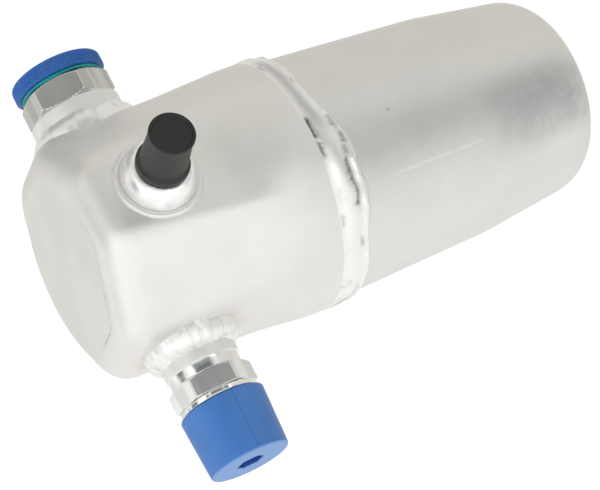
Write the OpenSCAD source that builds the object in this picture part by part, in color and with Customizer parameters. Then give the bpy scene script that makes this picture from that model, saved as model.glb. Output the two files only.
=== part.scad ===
// Suction line accumulator: a can welded from two drawn aluminium shells. Three ports sit on
// pressed flats near its top. A suction tube, an oil pick-up and a drying bag are inside.
// The origin is the centre of the flat foot. Z runs up the can, the inlet points along +X
// and the outlet along -X. All sizes are in millimetres.

/* [Can] */
// Outside diameter of the upper shell
can_od = 90; // [86:1:100]
// Height of the can over both closed ends
can_h = 195; // [190:1:230]
// Wall of both shells
wall = 2; // [1.5:0.1:3]
// Height of the upper shell's open edge
seam_z = 114; // [108:1:122]
// Radius of the rounded top edge
top_corner_r = 16.5; // [10:0.5:20]
// Length of the lower shell's lip inside the upper shell
lap_len = 8; // [4:0.5:12]
// Radial clearance round that lip
lap_gap = 0.1; // [0.08:0.01:0.3]

/* [Lower shell] */
// Diameter where the lower shell's taper gets steeper
taper_od = 80; // [76:1:84]
// Height where the taper gets steeper
taper_z = 46; // [38:1:60]
// Diameter of the flat foot
foot_d = 40; // [34:1:46]
// Radius of the rounded bottom edge
foot_corner_r = 16; // [10:0.5:18]

/* [Girth weld] */
// Width of the bead below the upper shell's edge
bead_w = 11; // [6:0.5:14]
// Height of the bead's crown over the upper shell
bead_rise = 0.6; // [0.2:0.1:1.5]

/* [Port pads] */
// Depth of the pressed flats below the round wall
pad_depth = 5; // [3.5:0.25:6]
// Length of the flats down from the top
pad_len = 45; // [40:1:50]
// Length over which they run out into the round wall
pad_fade = 18; // [8:1:24]
// Softness of the edges of the flats
pad_blend = 3; // [1:0.25:4]
// Distance of the port axes below the top
port_drop = 26.4; // [25:0.2:30]
// Angle from the inlet to the switch port, seen from above
switch_angle = -84; // [-100:1:-75]
// Clearance of the spigots in the shell's holes
spigot_gap = 0.1; // [0.05:0.05:0.3]
// Length of the spigots inside the wall
spigot_len = 3; // [2:0.5:6]

/* [Inlet] */
// Length of the inlet fitting over its pad
inlet_len = 20.2; // [16:0.2:30]
// Width across flats of the inlet hexagon
inlet_hex = 28.6; // [27:0.2:32]
// Height of the round boss under the inlet hexagon
inlet_boss_h = 10.6; // [6:0.2:12]
// Diameter of that boss
inlet_boss_d = 32.4; // [30:0.2:34]
// Radius of the boss's rounded shoulder
inlet_boss_edge = 2; // [0.5:0.25:3]
// Wall of the inlet's spigot round the passage
inlet_spigot_wall = 3; // [2:0.25:4]
// Diameter of the inlet's threaded bore
inlet_bore_d = 20.4; // [18:0.1:22]
// Depth of the threaded bore
inlet_bore_len = 15; // [12:0.5:16]
// Diameter of the passage into the can
inlet_flow_d = 16; // [12:0.5:17]
// Turn of the hexagon about the port axis
inlet_hex_turn = 33; // [0:1:59]

/* [Outlet] */
// Height of the outlet's land over its pad, where the weld ends
land_h = 10.2; // [8:0.2:11]
// Diameter of the land
land_d = 26.6; // [25.6:0.2:28]
// Height of the narrower neck's end over the pad
neck_h = 13.8; // [12:0.2:18]
// Diameter of the neck
neck_d = 25.4; // [24:0.2:25.4]
// Width across flats of the outlet hexagon
outlet_hex = 26; // [25.6:0.2:30]
// Thickness of the outlet hexagon
outlet_hex_h = 7.6; // [6:0.2:12]
// Turn of the hexagon about the port axis
outlet_hex_turn = 15; // [0:1:59]
// Height of the collar between hexagon and thread
collar_h = 2.3; // [1:0.1:4]
// Diameter of that collar
collar_d = 27.6; // [25:0.2:28.4]
// Wall of the outlet's spigot round the tube
outlet_spigot_wall = 4; // [2:0.25:5]
// Outside diameter of the outlet thread
outlet_thread_d = 22.2; // [20:0.1:24]
// Length of the outlet thread
outlet_thread_len = 10.5; // [8:0.5:16]
// Diameter of the pilot nose past the thread
pilot_d = 17.4; // [16:0.2:18]
// Length of the pilot nose
pilot_len = 5; // [4:0.5:8]
// Thickness of the O-ring on the nose
o_ring_t = 2; // [1.6:0.1:2.4]

/* [Switch port] */
// Diameter of the domed base
dome_d = 26; // [24:0.5:30]
// Height of the domed base
dome_h = 9; // [6:0.5:12]
// Diameter of the shoulder on top of the dome
dome_top_d = 17.6; // [16:0.2:20]
// Outside diameter of the switch thread
switch_thread_d = 11.1; // [10:0.1:12.5]
// Length of the switch thread
switch_thread_len = 13; // [10:0.5:16]
// Diameter of the bore for the valve core
core_d = 5.4; // [5:0.1:6]
// Stroke of the valve pin
pin_stroke = 1.5; // [1:0.1:2]

/* [Welds] */
// Width of the fillet welds at the pads
fillet_w = 4; // [2:0.5:5]
// Height of the inlet's fillet weld
inlet_fillet_h = 4; // [2:0.5:5]
// Height of the outlet's fillet weld
outlet_fillet_h = 6.5; // [3:0.5:8]
// Width of the ring round the switch port
ring_w = 2; // [1:0.2:3]
// Clearance between a weld and the pieces it joins
weld_gap = 0.03; // [0.02:0.01:0.1]

/* [Shipping caps] */
// Clearance of the caps and the plug on their threads
cap_gap = 0.05; // [0.03:0.01:0.1]
// Clearance between a cap's rim and the face it stops at
rim_gap = 0.3; // [0.2:0.1:0.6]
// Diameter of the plug's flange
plug_flange_d = 33; // [30:0.5:36]
// Thickness of the plug's flange
plug_flange_t = 5.4; // [4:0.2:7]
// Ribs round the plug's flange
plug_ribs = 96; // [60:2:120]
// Depth of the ribs
plug_rib_depth = 0.3; // [0.1:0.05:0.5]
// Length of the plug in the bore
plug_len = 12; // [8:0.5:12]
// Thickness of the seal under the plug's flange
seal_t = 0.8; // [0.6:0.1:1.2]
// Length of the outlet cap
outlet_cap_len = 20.4; // [19.8:0.2:28]
// Diameter of the outlet cap at its rim
outlet_cap_d = 30.2; // [29:0.2:34]
// Diameter of the outlet cap at its end
outlet_cap_end_d = 28.2; // [26:0.2:29]
// Radius of the rounded edge at the cap's end
outlet_cap_edge = 2.2; // [1:0.2:3]
// Width across flats of the recess in the cap's end
cap_recess = 8.6; // [6:0.2:10]
// Depth of that recess
cap_recess_depth = 2.4; // [1:0.2:2.6]
// Length of the black cap
port_cap_len = 19.4; // [18.4:0.2:24]
// Diameter of the black cap's flange
port_cap_flange_d = 18.2; // [17:0.2:20]
// Diameter of the black cap at its top
port_cap_top_d = 15.6; // [14.6:0.2:17]

/* [Suction tube] */
// Outside diameter of the suction tube
tube_od = 12.7; // [11:0.1:14]
// Wall of the suction tube
tube_wall = 1.2; // [0.8:0.1:1.6]
// Radius of the bend under the outlet
elbow_r = 18; // [16:0.5:20]
// Distance of the outlet leg from the can's axis
out_leg_x = 14; // [12:0.5:16]
// Clearance between the cup over the inlet leg and the inlet's pad
leg_clearance = 2.5; // [1.5:0.1:4]
// Distance of the tube's open end below the port axes
tube_top_drop = 22; // [20:0.5:30]
// Height of the tube's lowest point over the can's floor
pickup_h = 8.6; // [8:0.2:14]
// Clearance between the tube and what it carries
tube_gap = 0.05; // [0.03:0.01:0.15]
// Depth of the tube in the outlet fitting
socket_len = 10; // [6:0.5:12]
// Diameter of the oil hole in the tube
oil_hole_d = 1.8; // [1:0.1:2.5]

/* [Deflector] */
// Outside diameter of the deflector cup
deflector_d = 23; // [21:0.5:24]
// Wall of the deflector cup
deflector_wall = 1.2; // [1:0.1:1.6]
// Length of the deflector cup
deflector_len = 18; // [14:0.5:22]
// Space between the tube's end and the cup's roof
deflector_space = 4.5; // [3:0.5:6]

/* [Oil pick-up] */
// Diameter of the filter housing
filter_d = 19; // [17:0.5:21]
// Height of the housing's floor over the can's floor
filter_floor = 1; // [0.5:0.1:2]
// Diameter of the screen's chamber
chamber_d = 14; // [12:0.5:15]
// Height of the screen
screen_h = 5; // [4:0.2:5.6]
// Thickness of the screen
screen_t = 0.5; // [0.4:0.1:0.8]

/* [Drying bag] */
// Clearance between the bag and the tube's legs and straps
bag_gap = 0.3; // [0.2:0.1:1]
// Half the depth of the bag, front to back
bag_half_depth = 17; // [14:0.5:22]
// Height of the bag's lower end
bag_z = 64; // [58:1:72]
// Length of the bag
bag_len = 54; // [44:1:58]
// Width of the straps
tie_w = 5; // [3:0.5:7]
// Thickness of the straps
tie_t = 1.2; // [0.8:0.1:1.6]
// Distance of the straps from the bag's ends
tie_inset = 12; // [9:0.5:16]

/* [Hidden] */
$fn = 96;

// Can
can_r = can_od / 2;
lip_r = can_r - wall - lap_gap;
bead_z = seam_z - bead_w;
foot_r = foot_d / 2;
taper_r = taper_od / 2;

// Pads and ports
pad_dist = can_r - pad_depth;
pad_bottom_z = can_h - pad_len;
port_z = can_h - port_drop;
pad_angles = [0, 180, switch_angle];
spigot_end = pad_dist - wall - spigot_len;
wall_segments = 96;
fade_steps = 7;
corner_steps = 8;
inner_fade_steps = 4;
inner_corner_steps = 5;

// Inlet, as distances from the can's axis along the port
inlet_spigot_r = inlet_flow_d / 2 + inlet_spigot_wall;
inlet_hex_start = pad_dist + inlet_boss_h;
inlet_end = pad_dist + inlet_len;
chamfer_slope = tan(30);

// Outlet
tube_r = tube_od / 2;
tube_bore_r = tube_r - tube_wall;
outlet_spigot_r = tube_r + outlet_spigot_wall;
neck_end = pad_dist + neck_h;
outlet_hex_end = neck_end + outlet_hex_h;
collar_end = outlet_hex_end + collar_h;
outlet_thread_r = outlet_thread_d / 2;
land_end = pad_dist + land_h;
thread_end = collar_end + outlet_thread_len;
pilot_end = thread_end + pilot_len;
pilot_r = pilot_d / 2;
o_ring_r = pilot_r - o_ring_t / 4;
o_ring_pos = thread_end + pilot_len / 2;

// Switch port and its valve core
switch_spigot_r = 8;
dome_end = pad_dist + dome_h;
switch_end = dome_end + switch_thread_len;
switch_thread_r = switch_thread_d / 2;
core_r = core_d / 2;
core_gap = 0.04;
core_body_len = 7;
pin_r = 0.75;
pin_head_r = 1.9;
pin_head_t = 1;
pin_recess = 0.7;
pin_end = switch_end - pin_recess;
core_seal_t = 1;
core_seal_r = 2.1;
spring_wire_r = 0.2;
spring_r = 1.4;
spring_turns = 4;
spring_pressed_len = 2 * spring_wire_r * (spring_turns + 0.5);
spring_end = pin_end - pin_head_t;
spring_start = spring_end - pin_stroke - spring_pressed_len;
core_body_end = spring_start;
core_body_start = core_body_end - core_body_len;

// Caps
plug_body_r = inlet_bore_d / 2 - cap_gap;
seal_start = inlet_end + rim_gap;
flange_start = seal_start + seal_t;
plug_end = flange_start + plug_flange_t;
seal_r = plug_flange_d / 2 - 0.6;
plug_skirt = 1.6;
outlet_cap_start = collar_end + rim_gap;
outlet_cap_end = outlet_cap_start + outlet_cap_len;
port_cap_start = dome_end + rim_gap;
port_cap_end = port_cap_start + port_cap_len;
port_cap_flange_t = 2;
port_cap_lip_t = 1.6;
port_cap_wall = 2;
port_cap_seal_t = 1;

// Suction tube: its legs lie in the plane of the inlet and the outlet
in_leg_x = pad_dist - wall - leg_clearance - deflector_d / 2;
u_bend_r = (out_leg_x + in_leg_x) / 2;
u_mid_x = u_bend_r - out_leg_x;
elbow_x = out_leg_x + elbow_r;
u_z = wall + pickup_h + tube_r + u_bend_r;
tube_top_z = port_z - tube_top_drop;

// Oil pick-up
filter_base_z = wall + filter_floor;
filter_base_t = 1.2;
chamber_z = filter_base_z + filter_base_t;
screen_gap = 0.1;

// Drying bag
bag_half_width = u_bend_r - tube_r - tube_gap - bag_gap;
bag_power = 2.6;
bag_end_power = 5;
bag_rows = 12;
bag_segments = 32;

// The lesser of two distances, with a soft corner of size k where they meet
function soft_min(a, b, k) = let (m = max(k - abs(a - b), 0) / k) min(a, b) - m * m * k / 4;

// A smooth step from 0 to 1
function ease(t) = let (c = min(max(t, 0), 1)) c * c * (3 - 2 * c);

// Distance of the flats from the axis at height z: below the pads they run out of the wall
function flat_dist(z) = pad_dist + (pad_depth + pad_blend) * ease((pad_bottom_z - z) / pad_fade);

// How far out one flat lets the wall reach in one direction
function flat_limit(angle, z, inset) =
    let (c = cos(angle)) c > 0.2 ? (flat_dist(z) - inset) / c : 2 * can_od;

// Radius of the upper shell's wall in one direction, with its outline moved in by inset
function wall_radius(angle, z, inset) =
    soft_min(
        soft_min(
            soft_min(can_r - inset, flat_limit(angle - pad_angles[0], z, inset), pad_blend),
            flat_limit(angle - pad_angles[1], z, inset), pad_blend),
        flat_limit(angle - pad_angles[2], z, inset), pad_blend);

// Heights and insets of the upper shell's outlines, from the open edge up and over the corner
function shell_rows(depth, fades, corners) = concat(
    [[seam_z, depth]],
    [for (i = [0 : fades]) [pad_bottom_z - pad_fade * (1 - i / fades), depth]],
    [for (i = [0 : corners])
        let (a = 90 * i / corners, r = top_corner_r - depth)
        [can_h - top_corner_r + r * sin(a), depth + r * (1 - cos(a))]]
);

// Points of those outlines
function row_points(rows) = [
    for (row = rows)
        for (j = [0 : wall_segments - 1])
            let (a = 360 * j / wall_segments, r = wall_radius(a, row[0], row[1]))
            [r * cos(a), r * sin(a), row[0]]
];

// Triangles of a sleeve of outlines that starts at point number first; flip turns them over
function sleeve_faces(first, count, segments, flip) = [
    for (i = [0 : count - 2])
        for (j = [0 : segments - 1])
            for (half = [0, 1])
                let (
                    k = (j + 1) % segments,
                    p = first + i * segments,
                    q = p + segments,
                    t = half == 0 ? [p + j, q + j, q + k] : [p + j, q + k, p + k]
                )
                flip ? [t[0], t[2], t[1]] : t
];

// Triangles of a fan between one outline and a centre point
function fan_faces(first, centre, segments, flip) = [
    for (j = [0 : segments - 1])
        let (k = (j + 1) % segments)
        flip ? [first + j, first + k, centre] : [first + k, first + j, centre]
];

// Points along a circular arc in a profile
function arc(centre, r, from, to, steps) = [
    for (i = [0 : steps])
        let (a = from + (to - from) * i / steps)
        [centre[0] + r * cos(a), centre[1] + r * sin(a)]
];

// Profile of the lower shell, its surface moved in by depth: foot, corner and two tapers
foot_centre = [foot_r, foot_corner_r];
taper_reach = norm([taper_r - foot_r, taper_z - foot_corner_r]);
foot_tangent = atan2(taper_z - foot_corner_r, taper_r - foot_r) - acos(foot_corner_r / taper_reach);
lip_lean = atan2(lip_r - taper_r, bead_z - taper_z);
function lower_profile(depth) = concat(
    [[0, depth]],
    arc(foot_centre, foot_corner_r - depth, -90, foot_tangent, 12),
    [
        [taper_r - depth / cos((foot_tangent - lip_lean) / 2), taper_z],
        [lip_r - depth, bead_z],
        [lip_r - depth, seam_z + lap_len],
        [0, seam_z + lap_len]
    ]
);

// Turns a profile, or whatever stands along Z, to lie along a port's axis
module on_port(angle) {
    rotate([0, 0, angle])
        translate([0, 0, port_z])
            rotate([0, 90, 0])
                children();
}

// A turned piece from its profile of radius and position along the axis
module turned(profile) {
    rotate_extrude()
        polygon(profile);
}

// A round bar between two positions along its axis
module bar(r, from, to) {
    translate([0, 0, from])
        cylinder(r = r, h = to - from);
}

// A hexagon between two positions, its corners chamfered at the ends that are marked
module hexagon(flats, from, to, turn, chamfer_from, chamfer_to) {
    corner_r = flats / 2 / cos(30);
    reach = corner_r + 1;
    rise = (reach - flats / 2) * chamfer_slope;
    intersection() {
        rotate([0, 0, turn])
            translate([0, 0, from])
                cylinder(r = corner_r, h = to - from, $fn = 6);
        turned(concat(
            [[0, from]],
            chamfer_from ? [[flats / 2, from], [reach, from + rise]] : [[reach, from]],
            chamfer_to ? [[reach, to - rise], [flats / 2, to]] : [[reach, to]],
            [[0, to]]
        ));
    }
}

// The upper shell as a solid with no hollow
module upper_form() {
    rows = shell_rows(0, fade_steps, corner_steps);
    last = (len(rows) - 1) * wall_segments;
    points = concat(row_points(rows), [[0, 0, can_h], [0, 0, seam_z]]);
    top = len(rows) * wall_segments;
    polyhedron(points, concat(
        sleeve_faces(0, len(rows), wall_segments, false),
        fan_faces(last, top, wall_segments, false),
        fan_faces(0, top + 1, wall_segments, true)
    ));
}

// The wall of the upper shell, before its holes: an outer and an inner sleeve joined at the rim
module upper_wall() {
    outer = shell_rows(0, fade_steps, corner_steps);
    inner = shell_rows(wall, inner_fade_steps, inner_corner_steps);
    n = wall_segments;
    inner_first = len(outer) * n;
    tops = inner_first + len(inner) * n;
    rim = [
        for (j = [0 : n - 1])
            let (k = (j + 1) % n)
            [j, k, inner_first + k, inner_first + j]
    ];
    polyhedron(
        concat(row_points(outer), row_points(inner), [[0, 0, can_h], [0, 0, can_h - wall]]),
        concat(
            sleeve_faces(0, len(outer), n, false),
            fan_faces(inner_first - n, tops, n, false),
            sleeve_faces(inner_first, len(inner), n, true),
            fan_faces(tops - n, tops + 1, n, true),
            rim
        )
    );
}

module upper_shell() {
    color("gainsboro")
        difference() {
            upper_wall();
            on_port(0) bar(inlet_spigot_r + spigot_gap, 0, can_r);
            on_port(180) bar(outlet_spigot_r + spigot_gap, 0, can_r);
            on_port(switch_angle) bar(switch_spigot_r + spigot_gap, 0, can_r);
        }
}

module lower_shell() {
    color("gainsboro")
        difference() {
            turned(lower_profile(0));
            turned(lower_profile(wall));
        }
}

// The bead fills the step between the lower shell and the upper shell's edge
module girth_weld() {
    root_r = lip_r + weld_gap;
    toe_r = can_r + bead_rise / 3;
    crown_r = can_r + bead_rise;
    crown_z = seam_z - bead_w / 3;
    color("silver")
        turned(concat(
            [[root_r, bead_z]],
            [for (i = [1 : 8])
                let (t = i / 8)
                [root_r + (crown_r - root_r) * sin(90 * t), bead_z + (crown_z - bead_z) * t]],
            [[toe_r, seam_z], [root_r, seam_z]]
        ));
}

// A convex fillet weld round a boss, cut to the surface that it sits on
module fillet_weld(angle, boss_r, height) {
    root_r = boss_r + weld_gap;
    root_depth = top_corner_r / 2;
    difference() {
        on_port(angle)
            turned(concat(
                [[root_r, pad_dist - root_depth], [root_r + fillet_w, pad_dist - root_depth]],
                [for (i = [0 : 6])
                    let (a = 90 * i / 6)
                    [root_r + fillet_w * (1 - 0.92 * sin(a)), pad_dist + height * (1 - 0.92 * cos(a))]],
                [[root_r, pad_dist + height]]
            ));
        upper_form();
    }
}

module inlet_fitting() {
    boss_r = inlet_boss_d / 2;
    shoulder = inlet_hex_start - inlet_boss_edge;
    color("lightgray")
        on_port(0)
            difference() {
                union() {
                    bar(inlet_spigot_r, spigot_end, pad_dist);
                    turned(concat(
                        [[0, pad_dist], [boss_r, pad_dist]],
                        arc([boss_r - inlet_boss_edge, shoulder], inlet_boss_edge, 0, 90, 6),
                        [[0, inlet_hex_start]]
                    ));
                    bar(inlet_hex / 2 - 0.2, pad_dist, inlet_end);
                    hexagon(inlet_hex, inlet_hex_start, inlet_end, inlet_hex_turn, true, false);
                }
                bar(inlet_bore_d / 2, inlet_end - inlet_bore_len, inlet_end + 1);
                bar(inlet_flow_d / 2, spigot_end - 1, inlet_end);
            }
}

module inlet_weld() {
    color("silver")
        fillet_weld(0, inlet_boss_d / 2, inlet_fillet_h);
}

// Shipping plug: a flange with fine ribs on a cup in the threaded bore, open to the outside
module inlet_plug() {
    edge = 1;
    flange_r = plug_flange_d / 2;
    color("royalblue")
        on_port(0)
            difference() {
                union() {
                    bar(plug_body_r, inlet_end - plug_len, flange_start);
                    intersection() {
                        translate([0, 0, flange_start])
                            linear_extrude(plug_flange_t)
                                polygon([
                                    for (i = [0 : 2 * plug_ribs - 1])
                                        let (
                                            r = flange_r - (i % 2) * plug_rib_depth,
                                            a = 180 * i / plug_ribs
                                        )
                                        [r * cos(a), r * sin(a)]
                                ]);
                        turned(concat(
                            [[0, flange_start], [flange_r - edge / 2, flange_start]],
                            [[flange_r, flange_start + edge / 2]],
                            arc([flange_r - edge, plug_end - edge], edge, 0, 90, 4),
                            [[0, plug_end]]
                        ));
                    }
                }
                bar(plug_body_r - plug_skirt, inlet_end - plug_len + plug_skirt, plug_end + 1);
            }
}

module inlet_seal() {
    color("darkcyan")
        on_port(0)
            difference() {
                bar(seal_r, seal_start, flange_start);
                bar(plug_body_r + cap_gap, seal_start - 1, flange_start + 1);
            }
}

module outlet_fitting() {
    groove_r = o_ring_r - o_ring_t / 2;
    chamfer = 1;
    tube_stop = spigot_end + socket_len + rim_gap;
    color("lightgray")
        on_port(180)
            difference() {
                union() {
                    bar(outlet_spigot_r, spigot_end, pad_dist);
                    bar(land_d / 2, pad_dist, land_end);
                    bar(neck_d / 2, pad_dist, outlet_hex_end);
                    hexagon(outlet_hex, neck_end, outlet_hex_end, outlet_hex_turn, true, false);
                    bar(collar_d / 2, outlet_hex_end, collar_end);
                    turned([
                        [0, collar_end], [outlet_thread_r, collar_end],
                        [outlet_thread_r, thread_end - chamfer], [outlet_thread_r - chamfer, thread_end],
                        [pilot_r, thread_end], [pilot_r, o_ring_pos - o_ring_t / 2],
                        [groove_r, o_ring_pos - o_ring_t / 2], [groove_r, o_ring_pos + o_ring_t / 2],
                        [pilot_r, o_ring_pos + o_ring_t / 2], [pilot_r, pilot_end - chamfer / 2],
                        [pilot_r - chamfer / 2, pilot_end], [0, pilot_end]
                    ]);
                }
                bar(tube_bore_r, spigot_end, pilot_end + 1);
                bar(tube_r + tube_gap, spigot_end - 1, tube_stop);
            }
}

module outlet_weld() {
    color("silver")
        fillet_weld(180, land_d / 2, outlet_fillet_h);
}

module outlet_o_ring() {
    color("seagreen")
        on_port(180)
            translate([0, 0, o_ring_pos])
                rotate_extrude()
                    translate([o_ring_r + tube_gap, 0])
                        circle(r = o_ring_t / 2 - tube_gap, $fn = 32);
}

// Shipping cap: tapered side, rounded end with a hexagon recess, hollow over the thread
module outlet_cap() {
    rim_r = outlet_cap_d / 2;
    end_r = outlet_cap_end_d / 2;
    end_edge_z = outlet_cap_end - outlet_cap_edge;
    rim_edge = 0.6;
    color("cornflowerblue")
        on_port(180)
            difference() {
                turned(concat(
                    [[0, outlet_cap_start], [rim_r - rim_edge, outlet_cap_start]],
                    [[rim_r, outlet_cap_start + rim_edge]],
                    arc([end_r - outlet_cap_edge, end_edge_z], outlet_cap_edge, 0, 90, 6),
                    [[0, outlet_cap_end]]
                ));
                bar(outlet_thread_r + cap_gap, outlet_cap_start - 1, pilot_end + rim_gap);
                translate([0, 0, outlet_cap_end - cap_recess_depth])
                    rotate([0, 0, outlet_hex_turn])
                        cylinder(r = cap_recess / 2 / cos(30), h = cap_recess_depth + 1, $fn = 6);
            }
}

// The dome swells from the shoulder to the pad, and a threaded stem stands on it
module switch_port() {
    dome_r = dome_d / 2;
    dome_top_r = dome_top_d / 2;
    chamfer = 0.6;
    color("whitesmoke")
        on_port(switch_angle)
            difference() {
                union() {
                    bar(switch_spigot_r, spigot_end, pad_dist);
                    turned(concat(
                        [[0, pad_dist]],
                        [for (i = [0 : 10])
                            let (a = 90 * i / 10)
                            [dome_top_r + (dome_r - dome_top_r) * cos(a), pad_dist + dome_h * sin(a)]],
                        [
                            [switch_thread_r, dome_end], [switch_thread_r, switch_end - chamfer],
                            [switch_thread_r - chamfer, switch_end], [0, switch_end]
                        ]
                    ));
                }
                bar(core_r, spigot_end - 1, switch_end + 1);
            }
}

// A low round bead that follows the pad round the dome
module switch_port_weld() {
    root_r = dome_d / 2 + weld_gap;
    root_depth = top_corner_r / 2;
    color("silver")
        difference() {
            on_port(switch_angle)
                turned(concat(
                    [[root_r, pad_dist - root_depth], [root_r + ring_w, pad_dist - root_depth]],
                    arc([root_r + ring_w / 2, pad_dist], ring_w / 2, 0, 180, 6)
                ));
            upper_form();
        }
}

// Black cap: flange at the foot, waisted body, small lip round the top
module port_cap() {
    flange_r = port_cap_flange_d / 2;
    top_r = port_cap_top_d / 2;
    waist_r = top_r - 0.3;
    edge = 0.8;
    lip_start = port_cap_end - port_cap_lip_t;
    color("#2b2c2b")
        on_port(switch_angle)
            difference() {
                turned(concat(
                    [
                        [0, port_cap_start], [flange_r, port_cap_start],
                        [flange_r, port_cap_start + port_cap_flange_t],
                        [flange_r - edge, port_cap_start + port_cap_flange_t + edge / 2],
                        [waist_r, lip_start - edge / 2], [top_r, lip_start]
                    ],
                    arc([top_r - edge, port_cap_end - edge], edge, 0, 90, 4),
                    [[0, port_cap_end]]
                ));
                bar(switch_thread_r + cap_gap, port_cap_start - 1, port_cap_end - port_cap_wall);
            }
}

module port_cap_seal() {
    roof = port_cap_end - port_cap_wall;
    color("dimgray")
        on_port(switch_angle)
            difference() {
                bar(switch_thread_r, roof - port_cap_seal_t, roof);
                bar(pin_head_r, port_cap_start, roof + 1);
            }
}

module valve_core_body() {
    color("goldenrod")
        on_port(switch_angle)
            difference() {
                bar(core_r - core_gap, core_body_start, core_body_end);
                bar(pin_r + core_gap, core_body_start - 1, core_body_end + 1);
            }
}

module valve_core_pin() {
    color("gold")
        on_port(switch_angle) {
            bar(pin_r, core_body_start - core_seal_t, pin_end - pin_head_t);
            bar(pin_head_r, pin_end - pin_head_t, pin_end);
            bar(core_seal_r, core_body_start - core_seal_t - 0.6, core_body_start - core_seal_t);
        }
}

module valve_core_seal() {
    color("dimgray")
        on_port(switch_angle)
            difference() {
                bar(core_seal_r, core_body_start - core_seal_t, core_body_start);
                bar(pin_r + core_gap, core_body_start - core_seal_t - 1, core_body_start + 1);
            }
}

// Coil spring under the pin's head, swept round its helix
module valve_core_spring() {
    sides = 6;
    per_turn = 14;
    rings = spring_turns * per_turn + 1;
    low = spring_start + spring_wire_r;
    rise = spring_end - spring_start - 2 * spring_wire_r;
    points = [
        for (i = [0 : rings - 1])
            for (j = [0 : sides - 1])
                let (
                    a = 360 * i / per_turn,
                    b = 360 * j / sides,
                    r = spring_r + spring_wire_r * cos(b)
                )
                [r * cos(a), r * sin(a), low + rise * i / (rings - 1) + spring_wire_r * sin(b)]
    ];
    first_end = [for (j = [0 : sides - 1]) j];
    last_end = [for (j = [sides - 1 : -1 : 0]) (rings - 1) * sides + j];
    color("silver")
        on_port(switch_angle)
            polyhedron(points, concat(sleeve_faces(0, rings, sides, true), [last_end, first_end]));
}

// The route of the suction tube as a solid of one radius: out to the fitting, down, round and up
module tube_route(r) {
    translate([-spigot_end - socket_len, 0, port_z])
        rotate([0, 90, 0])
            cylinder(r = r, h = spigot_end + socket_len - elbow_x);
    translate([-elbow_x, 0, port_z - elbow_r])
        rotate([90, 0, 0])
            rotate_extrude(angle = 90)
                translate([elbow_r, 0])
                    circle(r = r);
    translate([-out_leg_x, 0, u_z])
        cylinder(r = r, h = port_z - elbow_r - u_z);
    lower_bend(r);
    translate([in_leg_x, 0, u_z])
        cylinder(r = r, h = tube_top_z - u_z);
}

// The bend at the bottom of the tube
module lower_bend(r) {
    translate([u_mid_x, 0, u_z])
        rotate([90, 0, 0])
            rotate([0, 0, 180])
                rotate_extrude(angle = 180)
                    translate([u_bend_r, 0])
                        circle(r = r);
}

module u_tube() {
    color("lightgray")
        difference() {
            tube_route(tube_r);
            tube_route(tube_bore_r);
            translate([u_mid_x, 0, u_z - u_bend_r - tube_od])
                cylinder(d = oil_hole_d, h = tube_od);
        }
}

// A cup upside down over the tube's open end, on four ribs that grip the tube
module deflector_cap() {
    cup_r = deflector_d / 2;
    roof_z = tube_top_z + deflector_space;
    rim_z = roof_z + deflector_wall - deflector_len;
    color("ivory")
        translate([in_leg_x, 0, 0])
            difference() {
                union() {
                    difference() {
                        bar(cup_r, rim_z, roof_z + deflector_wall);
                        bar(cup_r - deflector_wall, rim_z - 1, roof_z);
                    }
                    for (a = [45 : 90 : 315])
                        rotate([0, 0, a])
                            translate([0, -deflector_wall / 2, rim_z + 1])
                                cube([cup_r - deflector_wall / 2, deflector_wall, tube_top_z - rim_z - 1]);
                }
                bar(tube_r + tube_gap, rim_z - 1, tube_top_z);
            }
}

// A cup that clips under the lower bend, with a chamber for the screen and four windows
module oil_filter_housing() {
    window = chamber_d / 3;
    color("ivory")
        difference() {
            translate([u_mid_x, 0, 0])
                difference() {
                    bar(filter_d / 2, filter_base_z, u_z - u_bend_r);
                    bar(chamber_d / 2, chamber_z, chamber_z + screen_h);
                    bar(oil_hole_d, chamber_z, u_z - u_bend_r);
                    for (a = [45 : 90 : 315])
                        rotate([0, 0, a])
                            translate([0, -window / 2, chamber_z])
                                cube([filter_d, window, screen_h - 1]);
                }
            lower_bend(tube_r + tube_gap);
        }
}

module oil_filter_screen() {
    screen_r = chamber_d / 2 - screen_gap;
    color("gray")
        translate([u_mid_x, 0, 0])
            difference() {
                bar(screen_r, chamber_z, chamber_z + screen_h - screen_gap);
                bar(screen_r - screen_t, chamber_z - 1, chamber_z + screen_h);
            }
}

// Outline of the bag, a soft rectangle, grown by some margin
function bag_outline(share, margin) = [
    for (j = [0 : bag_segments - 1])
        let (
            a = 360 * j / bag_segments,
            c = cos(a),
            s = sin(a),
            x = sign(c) * pow(abs(c), 2 / bag_power),
            y = sign(s) * pow(abs(s), 2 / bag_power)
        )
        [x * (bag_half_width * share + margin), y * (bag_half_depth * share + margin)]
];

// How full the bag is at a share of its half length
function bag_share(t) = pow(max(1 - pow(abs(t), bag_end_power), 0.02), 1 / bag_end_power);

module desiccant_bag() {
    rows = bag_rows + 1;
    points = [
        for (i = [0 : bag_rows])
            let (t = sin(-90 + 180 * i / bag_rows))
            for (p = bag_outline(bag_share(t), 0))
                [p[0], p[1], bag_z + bag_len * (1 + t) / 2]
    ];
    ends = [[0, 0, bag_z + bag_len], [0, 0, bag_z]];
    top = rows * bag_segments;
    color("linen")
        translate([u_mid_x, 0, 0])
            polyhedron(concat(points, ends), concat(
                sleeve_faces(0, rows, bag_segments, false),
                fan_faces(bag_rows * bag_segments, top, bag_segments, false),
                fan_faces(0, top + 1, bag_segments, true)
            ));
}

// Inside of a strap pulled tight round both legs of the tube and the bag
module strap_path(margin) {
    hull() {
        for (x = [-u_bend_r, u_bend_r])
            translate([x, 0])
                circle(r = tube_r + tube_gap + margin, $fn = 32);
        polygon(bag_outline(1, bag_gap + margin));
    }
}

module bag_tie(z) {
    color("whitesmoke")
        translate([u_mid_x, 0, z])
            linear_extrude(tie_w)
                difference() {
                    strap_path(tie_t);
                    strap_path(0);
                }
}

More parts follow.
